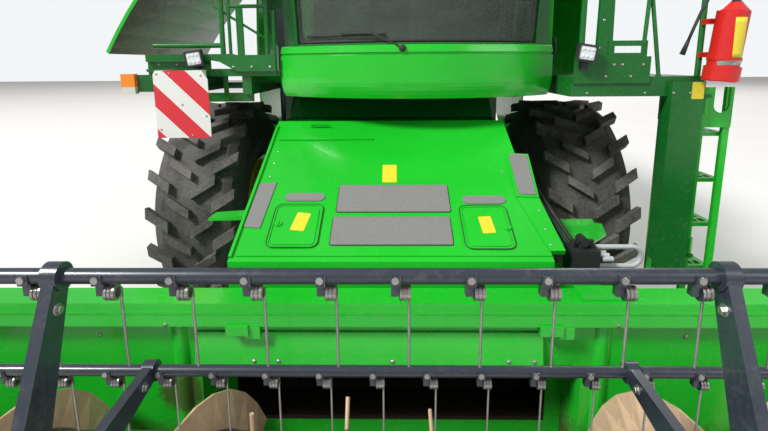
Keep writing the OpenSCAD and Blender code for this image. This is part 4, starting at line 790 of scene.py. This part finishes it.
# Driver's place: sprung seat of two foam cushions in woven cloth, armrest console,
# column and wheel, moulded in black plastic and bolted to the cab's floor.
def cloth_build(where):
    weave = where.noise(240.0, 2.0)
    band = where.noise(3.0)
    return {
        "Base Color": (weave * 0.7 + band * 0.3).blend((0.018, 0.019, 0.021), (0.075, 0.075, 0.078)),
        "Roughness": weave * 0.1 + 0.82,
        "Normal": weave.bump(0.4, 0.001),
    }


cloth = finish("seat cloth", cloth_build)
seat_floor = corners(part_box("operator_seat"))[0].z
moulded_black = (0.014, 0.014, 0.015), (0.036, 0.036, 0.038)


def moulded_build(where):
    grain = where.noise(320.0, 2.0)
    return {
        "Base Color": grain.blend(*moulded_black),
        "Roughness": grain * 0.15 + 0.5,
        "Normal": grain.bump(0.15, 0.0006),
    }


moulded = finish("moulded plastic", moulded_build)


def cushion(shape, middle, along, up, w, h, thick, channels):
    """Crowned pad with pulled-in sides and sewn channels, thick at its middle."""
    along, up = Vector(along).normalized(), Vector(up).normalized()
    out = along.cross(up)
    steps = 28
    shares = [sin(pi / 2 * (k / steps * 2 - 1)) for k in range(steps + 1)]
    sheets = []
    for face in (1, -1):
        rows = []
        for j, v in enumerate(shares):
            row = []
            for i, u in enumerate(shares):
                crown = 0.80 + 0.20 * (1 - u * u) * (1 - v * v)
                lift = ((1 - abs(u) ** 6) * (1 - abs(v) ** 6)) ** 0.42 * crown
                for c in channels:
                    lift -= 0.16 * max(0.0, 1 - abs(u - c) / 0.07) * (1 - v ** 8) * (face > 0)
                pull = 1 - 0.035 * (1 - (u * v) ** 2)
                x, y = u * w / 2 * pull, v * h / 2 * pull
                if face < 0 and (i in (0, steps) or j in (0, steps)):
                    row.append(sheets[0][j][i])
                else:
                    row.append(shape.verts.new(middle + along * x + up * y + out * (face * lift * thick / 2)))
            rows.append(row)
        sheets.append(rows)
        for j in range(steps):
            for i in range(steps):
                shape.faces.new((rows[j][i], rows[j][i + 1], rows[j + 1][i + 1], rows[j + 1][i]))


def seat_cushion(shape):
    middle = Vector((cab_x, -0.71, seat_floor + 0.392))
    cushion(shape, middle, across, (0, 1, 0.04), w=0.50, h=0.50, thick=0.125, channels=(-0.5, 0.5))


def seat_back(shape):
    middle = Vector((cab_x, -0.392, seat_floor + 0.735))
    cushion(shape, middle, across, (0, 0.16, 1), w=0.47, h=0.62, thick=0.12, channels=(-0.5, 0.0, 0.5))


base = piece("seat_cushion", seat_cushion, cloth, "chassis", smooth=True)
back = piece("seat_back", seat_back, cloth, "chassis", smooth=True)
for pad in (base, back):
    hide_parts("operator_seat")


hand_lever = [(0.012, 0), (0.010, 0.05), (0.026, 0.07), (0.028, 0.12), (0.016, 0.14)]
wheel_r, wheel_lean = 0.18, Matrix.Rotation(radians(20), 3, "X")


def driver_controls(shape):
    def block(x, y, z, w, h, r, low, high):
        slab(shape, Vector((cab_x + x, y, seat_floor + z)), across, rearward, outline(w, h, r), low, high)

    # pedestal with bellows
    for k in range(6):
        width = 0.33 - 0.02 * (k % 2)
        block(0, -0.65, 0.02 + 0.05 * k, width, width, 0.05, -0.02, 0.029)
    # armrest on its post, with its hand lever
    block(-0.355, -0.71, 0.52, 0.145, 0.57, 0.05, -0.03, 0.035)
    block(-0.35, -0.60, 0.24, 0.095, 0.19, 0.03, -0.24, 0.25)
    lathe(shape, (cab_x - 0.355, -0.93, seat_floor + 0.55), (0, -0.25, 1), hand_lever)
    # steering column and wheel
    foot, head = Vector((cab_x, -1.33, seat_floor)), Vector((cab_x, -1.18, seat_floor + 0.70))
    slab(shape, foot + upright * 0.02, across, rearward, outline(0.12, 0.12, 0.02), -0.02, 0.02)
    tube(shape, [foot + upright * 0.02, foot.lerp(head, 0.5), head], 0.044, 16)
    rim = [Vector((wheel_r * cos(a), wheel_r * sin(a), 0)) for a in round_turn(48)]
    tube(shape, [head + wheel_lean @ point for point in rim], 0.014, 10, closed=True)
    for a in (90, 210, 330):
        spoke = Vector((0.175 * cos(radians(a)), 0.175 * sin(radians(a)), 0))
        tube(shape, [head, head + wheel_lean @ spoke], 0.009, 8)
    lathe(shape, head, wheel_lean @ upright, [(0.05, -0.012), (0.055, 0.0), (0.04, 0.014)], 20)


piece("driver_controls", driver_controls, moulded, "chassis")

# Lamps and mirrors: moulded black housings on bent arms; the marker lamp has an amber
# upper and a white lower lens, welded into one block.
marker_x, marker_z = (-1.782, -1.679), (1.929, 1.974, 2.063)


def lamp_build(where):
    grain = where.noise(320.0, 2.0)
    x, z = where.part("X"), where.part("Z")
    inside = (x > marker_x[0]) * (x < marker_x[1]) * (z > marker_z[0]) * (z < marker_z[2])
    marker = (z > marker_z[1]).blend((0.62, 0.60, 0.56), (0.85, 0.24, 0.015))
    return {
        "Base Color": inside.blend(grain.blend(*moulded_black), marker),
        "Roughness": grain * 0.15 + 0.4,
    }


dress(finish("lamp housing", lamp_build), "lamps_and_mirrors")


# Work lamps: clear moulded lens over a grid of pressed reflector cups, clipped into the
# recess of each housing.
def lens(name, first, second, rough):
    """Gloss plastic lens whose tint varies a little between two colours."""

    def build(where):
        return {
            "Base Color": where.noise(50.0).blend(first, second),
            "Roughness": where.noise(40.0) * 0.08 + rough,
        }

    return finish(name, build, Coat_Weight=0.6)


lens_clear = lens("lamp lens", (0.62, 0.66, 0.69), (0.80, 0.82, 0.84), 0.08)
reflector_cup = [(0.012, 0.003), (0.010, 0.0065), (0.005, 0.008)]
# Columns: x and z of the lamp, its lean in degrees.
work_lamp_rows = ((-1.256, 2.156, -9), (1.160, 2.170, 9))


def work_lenses(shape):
    for x, z, lean in work_lamp_rows:
        at, _ = seat("lamps_and_mirrors", (x, -3.0, z), (0, 1, 0))
        along = Vector((cos(radians(lean)), 0, -sin(radians(lean))))
        up = Vector((sin(radians(lean)), 0, cos(radians(lean))))
        slab(shape, at, along, up, outline(0.088, 0.076, 0.008), -0.0005, 0.004)
        for u in (-0.027, 0.0, 0.027):
            for v in (-0.021, 0.021):
                lathe(shape, at + along * u + up * v, (0, -1, 0), reflector_cup, 14)


piece("work_lenses", work_lenses, lens_clear, "chassis")

# Mirror panes: flat glass, silvered at the back and glued to the rear face of each
# mirror housing.
mirror_reach, mirror_z = 1.31, 3.08


def mirror_panes(shape):
    for s in (-1, 1):
        at, _ = seat("lamps_and_mirrors", (cab_x + mirror_reach * s, -1.60, mirror_z), (0, -1, 0))
        slab(shape, at, -across, upright, outline(0.20, 0.46, 0.02), -0.0005, 0.002)


silvered = finish("silvered glass", lambda where: {
    "Base Color": where.noise(8.0).blend((0.72, 0.74, 0.75), (0.80, 0.82, 0.83)),
    "Roughness": where.noise(12.0) * 0.04 + 0.02,
}, Metallic=1.0)
piece("mirror_panes", mirror_panes, silvered, "chassis")

# Warning plate: flat sheet covered with reflective film in red and white diagonals,
# scuffed by use and riveted to its bracket.
stripe_pitch, stripe_shift = 0.283, 0.0415


def plate_build(where):
    along = (where.part("X") + where.part("Z") + stripe_shift) / stripe_pitch
    stripes = (along.math("FRACT", along) > 0.5).blend((0.80, 0.78, 0.76), (0.70, 0.012, 0.030))
    scuff = where.noise(60.0, 5.0, 0.75)
    chip = (where.noise(9.0, 5.0, 0.8) > 0.66) * 0.5
    return {
        "Base Color": (scuff * 0.10 + chip * 0.15).blend(stripes, (0.42, 0.36, 0.31)),
        "Roughness": scuff * 0.2 + 0.25,
    }


dress(finish("warning diagonals", plate_build), "warning_plate")
plate_rivet_places = ((-1.455, 2.062), (-1.375, 2.064), (-1.178, 2.052), (-1.452, 1.715),
                      (-1.255, 1.675), (-1.158, 1.80), (-1.306, 1.872))
fixed("plate_rivets", dome, from_front("warning_plate", plate_rivet_places, -4.0), "chassis", r=0.007)

# Platforms: their folded fascias are held by round-headed plated screws, and a blank
# yellow sticker is on the post of the left one.
left_screw_places = ((1.30, 2.03), (1.345, 2.10), (1.395, 2.10), (1.45, 2.03), (1.52, 2.10), (1.25, 2.20),
                     (1.27, 2.36), (1.28, 2.50), (1.20, 1.93), (1.55, 1.93), (1.70, 1.93), (1.80, 1.93))
right_screw_places = ((-1.52, 2.12), (-1.40, 2.12), (-1.02, 2.10), (-0.90, 2.10), (-0.78, 2.10))
platform_screws = from_front("platform_left", left_screw_places, -3.0)
platform_screws += from_front("platform_right", right_screw_places, -3.0)
fixed("platform_screws", dome, platform_screws, "chassis", r=0.009)


def post_sticker(shape):
    at, normal = seat("platform_left", (1.843, -3.0, 1.945), (0, 1, 0))
    slab(shape, at, across, normal.cross(across), outline(0.072, 0.10, 0.005), -0.0002, 0.0012)


piece("post_sticker", post_sticker, film_yellow, "chassis")

# Fire extinguisher: drawn steel bottle in red enamel under a black valve, with a blank
# film wrapped on its front and a steel strap that holds it.
bottle_low, bottle_high = corners(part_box("fire_extinguisher"))
bottle_mid = (bottle_low + bottle_high) / 2
bottle_tall = bottle_high.z - bottle_low.z
valve_z = bottle_high.z - 0.10


def red_build(where):
    speck = where.noise(50.0, 4.0)
    enamel = speck.blend((0.66, 0.018, 0.014), (0.52, 0.010, 0.010))
    return {
        "Base Color": (where.part("Z") > valve_z).blend(enamel, (0.022, 0.022, 0.024)),
        "Roughness": speck * 0.1 + 0.2,
    }


dress(finish("red enamel", red_build, Coat_Weight=0.4), "fire_extinguisher")


def wrapped(node, rays, across_steps, up_steps, low, high):
    """Builds a thin film that follows a node, cast on it ray by ray."""

    def build(shape):
        sheets = []
        for lift in (low, high):
            rows = []
            for j in range(up_steps + 1):
                row = []
                for i in range(across_steps + 1):
                    start, way = rays(i / across_steps, j / up_steps)
                    at, normal = seat(node, start, way)
                    row.append(shape.verts.new(at - Vector(way).normalized() * lift))
                rows.append(row)
            sheets.append(rows)
        inner, outer = sheets
        for rows in sheets:
            for j in range(up_steps):
                for i in range(across_steps):
                    shape.faces.new((rows[j][i], rows[j][i + 1], rows[j + 1][i + 1], rows[j + 1][i]))
        edge = [(0, i) for i in range(across_steps)]
        edge += [(j, across_steps) for j in range(up_steps)]
        edge += [(up_steps, i) for i in range(across_steps, 0, -1)]
        edge += [(j, 0) for j in range(up_steps, 0, -1)]
        for (a, b), (c, d) in zip(edge, edge[1:] + edge[:1]):
            shape.faces.new((inner[a][b], inner[c][d], outer[c][d], outer[a][b]))

    return build


def film_rays(u, v):
    x, z = bottle_mid.x - 0.012 + 0.066 * u, bottle_low.z + bottle_tall * (0.26 + 0.40 * v)
    return (x, -4.0, z), (0, 1, 0)


def strap_rays(u, v):
    x, z = bottle_mid.x - 0.070 + 0.140 * u, bottle_low.z + bottle_tall * (0.185 + 0.045 * v)
    return (x, -4.0, z), (0, 1, 0)


bottle_film = wrapped("fire_extinguisher", film_rays, 10, 8, -0.001, 0.0012)
piece("bottle_film", bottle_film, film_yellow, "chassis", smooth=True)
bottle_strap = wrapped("fire_extinguisher", strap_rays, 12, 2, -0.001, 0.002)
piece("bottle_strap", bottle_strap, zinc, "chassis")

# Discharge hose: stiff rubber hose that leaves the valve in an arc and hangs beside the
# bottle, with a moulded nozzle pushed on its end.
hose_top = Vector((bottle_mid.x - 0.03, bottle_mid.y - 0.02, bottle_high.z - 0.03))
hose_line = [hose_top + Vector(p) for p in (
    (0.0, 0.0, 0.0), (-0.025, -0.005, 0.020), (-0.06, -0.008, 0.010), (-0.10, -0.008, -0.04),
    (-0.135, -0.005, -0.12), (-0.165, 0.0, -0.21), (-0.19, 0.01, -0.30))]
hose_end, hose_way = hose_line[-1], hose_line[-1] - hose_line[-2]
nozzle_outline = [(0.011, -0.02), (0.012, 0.0), (0.016, 0.06), (0.013, 0.06)]


def hose_build(shape):
    tube(shape, hose_line, 0.009, 10)


def nozzle_build(shape):
    lathe(shape, hose_end, hose_way, nozzle_outline, 12)


hose = piece("bottle_hose", hose_build, rubber, "chassis", smooth=True)
nozzle = piece("hose_nozzle", nozzle_build, rubber, "chassis", smooth=True)

# Grain tank: its sheet walls are joined by a row of round-headed plated screws along
# the folded flange, on both sides and behind.
tank_low, tank_high = corners(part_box("tank_cover_left"))
flange_z, screw_pitch = 3.50, 0.2
rows = []
for s in (-1, 1):
    for k in range(7):
        rows.append(("grain_tank", (s * 3.0, tank_low.y + 0.12 + screw_pitch * k, flange_z), (-s, 0, 0)))
rows += [("grain_tank", (-1.2 + screw_pitch * k, tank_high.y + 1.0, flange_z), (0, -1, 0)) for k in range(13)]
fixed("tank_screws", dome, rows, "chassis", r=0.009)

# Engine hood: louvres in two columns on the left side, pressed out of the sheet and
# painted with it, let the cooling air out.
hood_low, hood_high = corners(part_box("engine_hood"))
louvre_half, louvre_z, louvre_pitch = 0.16, 2.62, 0.052
louvre_section = [(0.0, -0.001), (0.030, -0.001), (0.030, 0.004), (0.004, 0.016), (0.0, 0.016)]


def louvres(shape):
    for column in range(2):
        for k in range(9):
            y, z = hood_low.y + 0.20 + 0.40 * column, louvre_z + louvre_pitch * k
            at, _ = seat("engine_hood", (3.0, y + louvre_half, z), (-1, 0, 0))
            ends = []
            for dy in (-louvre_half, louvre_half):
                ends.append([shape.verts.new(at + Vector((v, dy, -u))) for u, v in louvre_section])
            for i in range(len(louvre_section)):
                shape.faces.new((ends[0][i - 1], ends[0][i], ends[1][i], ends[1][i - 1]))
            shape.faces.new(ends[0][::-1])
            shape.faces.new(ends[1])


piece("hood_louvres", louvres, green, "chassis")

# Air screen: plated wire rings welded on wire spokes, over the round drum that the
# cooling air goes in through.
drum_y, drum_z = hood_high.y - 0.65, 2.8


def screen_grid(shape):
    at, _ = seat("side_drives", (-3.0, drum_y + 0.10, drum_z + 0.1), (1, 0, 0))
    middle = Vector((at.x - 0.004, drum_y, drum_z))
    for r in (0.08, 0.14, 0.20, 0.26, 0.295):
        ring = [middle + Vector((0, r * cos(a), r * sin(a))) for a in round_turn(48)]
        tube(shape, ring, 0.003, 5, closed=True)
    for a in round_turn(24):
        way = Vector((0, cos(a), sin(a)))
        tube(shape, [middle + way * 0.05, middle + way * 0.297], 0.0025, 5)


piece("screen_grid", screen_grid, zinc, "chassis")

# Rear lamps: round domed lenses, red outside and amber inside, clipped into black
# rubber bezels that are screwed to the straw hood.
rear_z, red_x, amber_x = 1.635, 0.78, 0.63
bezel_profile = [(0.066, -0.01), (0.066, 0.022), (0.060, 0.030), (0.050, 0.030)]
rear_lens_profile = [(0.052, 0.0), (0.048, 0.010), (0.034, 0.018), (0.014, 0.022)]


def rear_round(places, lift, profile, sides):
    """Builds one turned piece at each place on both sides of the straw hood."""

    def build(shape):
        for s in (-1, 1):
            for x in places:
                at, _ = seat("straw_hood", (s * x, 9.0, rear_z), (0, -1, 0))
                lathe(shape, at + rearward * lift, rearward, profile, sides)

    return build


bezels = rear_round((red_x, amber_x), 0.0, bezel_profile, 28)
piece("rear_lamp_bezels", bezels, rubber, "chassis")
red_lenses = rear_round((red_x,), 0.028, rear_lens_profile, 24)
red_look = lens("red lens", (0.55, 0.010, 0.012), (0.70, 0.02, 0.02), 0.12)
piece("rear_lamps_red", red_lenses, red_look, "chassis", smooth=True)
amber_lenses = rear_round((amber_x,), 0.028, rear_lens_profile, 24)
amber_look = lens("amber lens", (0.75, 0.20, 0.010), (0.88, 0.30, 0.02), 0.12)
piece("rear_lamps_amber", amber_lenses, amber_look, "chassis", smooth=True)


# Side panel handles: a moulded plastic grip on a moulded plate, two to a panel, screwed
# on low down, where they can be reached.
def panel_handle(node, s, up_share):
    low, high = corners(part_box(node))
    z = low.z + (high.z - low.z) * up_share

    def build(shape):
        for y in (low.y + 0.22, high.y - 0.22):
            at, normal = seat(node, (s * 4.0, y, z), (-s, 0, 0))
            up = normal.cross(rearward)
            slab(shape, at, rearward, up, outline(0.15, 0.075, 0.02), -0.001, 0.006)
            slab(shape, at, rearward, up, outline(0.11, 0.024, 0.011), 0.006, 0.020)

    piece(node + "_handles", build, moulded, node)


# Columns: panel, its side, share of its height at which the handles are.
for node, s, share in (("panel_front_left", 1, 0.12), ("panel_front_right", -1, 0.12),
                       ("panel_rear_left", 1, 0.3), ("panel_rear_right", -1, 0.3)):
    panel_handle(node, s, share)

# Cab door handle: bent grip of moulded plastic on a backing plate, screwed to the
# door's front edge.
handle_z = 2.22
# Columns: distance from the door, height from the handle's middle.
grip_line = ((0.004, -0.07), (0.035, -0.055), (0.038, 0.0), (0.035, 0.055), (0.004, 0.07))


def door_handle(shape):
    low, high = corners(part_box("cab_door"))
    at, _ = seat("cab_door", (high.x + 1.0, low.y + 0.045, handle_z), (-1, 0, 0))
    slab(shape, at, rearward, upright, outline(0.05, 0.17, 0.02), -0.001, 0.006)
    tube(shape, [at + Vector((out, 0, rise)) for out, rise in grip_line], 0.009, 10)


piece("door_handle", door_handle, moulded, "cab_door", smooth=True)

# Header hoses: moulded hose rubber, pushed on their couplers; black, but for the looped
# hose at the side, which is light grey.
grey_from_x = 0.975
dress(finish("hose rubber", lambda where: {
    "Base Color": (where.part("X") > grey_from_x).blend((0.016, 0.016, 0.017), (0.42, 0.43, 0.44)),
    "Roughness": where.noise(60.0) * 0.2 + 0.45,
}), "header_hoses")

# Studio: pale floor, even sky, a strong far lamp high on the left as the sun and two
# soft fills. Only the camera and see-through surfaces meet the sky at its full strength.
floor_mesh = bpy.data.meshes.new("floor")
floor_mesh.from_pydata([(-60, -60, 0), (60, -60, 0), (60, 60, 0), (-60, 60, 0)], [], [(0, 1, 2, 3)])
floor = bpy.data.objects.new("floor", floor_mesh)
bpy.context.scene.collection.objects.link(floor)
floor_mesh.materials.append(finish("pale floor", lambda where: {
    "Base Color": where.noise(0.4).blend((0.66, 0.65, 0.63), (0.72, 0.71, 0.69)),
}, Roughness=0.9))

sky = bpy.data.worlds.new("sky")
bpy.context.scene.world = sky
sky.use_nodes = True
seen = Wire(sky.node_tree).node("LightPath")
rays = seen + seen.node("LightPath", out=6)
light = seen.node("Background", {}, {"Color": (1.0, 1.0, 1.0), "Strength": 0.42})
shown = seen.node("Background", {}, {"Color": (0.90, 0.92, 0.94), "Strength": 1.0})
both = seen.node("MixShader", {}, {0: rays.math("MINIMUM", rays, 1.0), 1: light, 2: shown})
sky.node_tree.links.new(both.socket, sky.node_tree.nodes["World Output"].inputs["Surface"])

# Columns: name, place, point it is aimed at, size, power in watts.
for name, place, aim, size, power in (
    ("key lamp", (-34.0, -24.0, 41.0), (0.0, -1.5, 1.0), 12.0, 41000.0),
    ("fill lamp", (18.0, -14.0, 12.0), (0.0, 0.0, 1.5), 14.0, 1500.0),
    ("back lamp", (12.0, 36.0, 27.0), (0.0, 1.0, 1.5), 20.0, 8000.0),
):
    lamp = bpy.data.lights.new(name, "AREA")
    lamp.size, lamp.energy = size, power
    holder = bpy.data.objects.new(name, lamp)
    bpy.context.scene.collection.objects.link(holder)
    holder.location = place
    holder.rotation_euler = (Vector(aim) - Vector(place)).to_track_quat("-Z", "Y").to_euler()
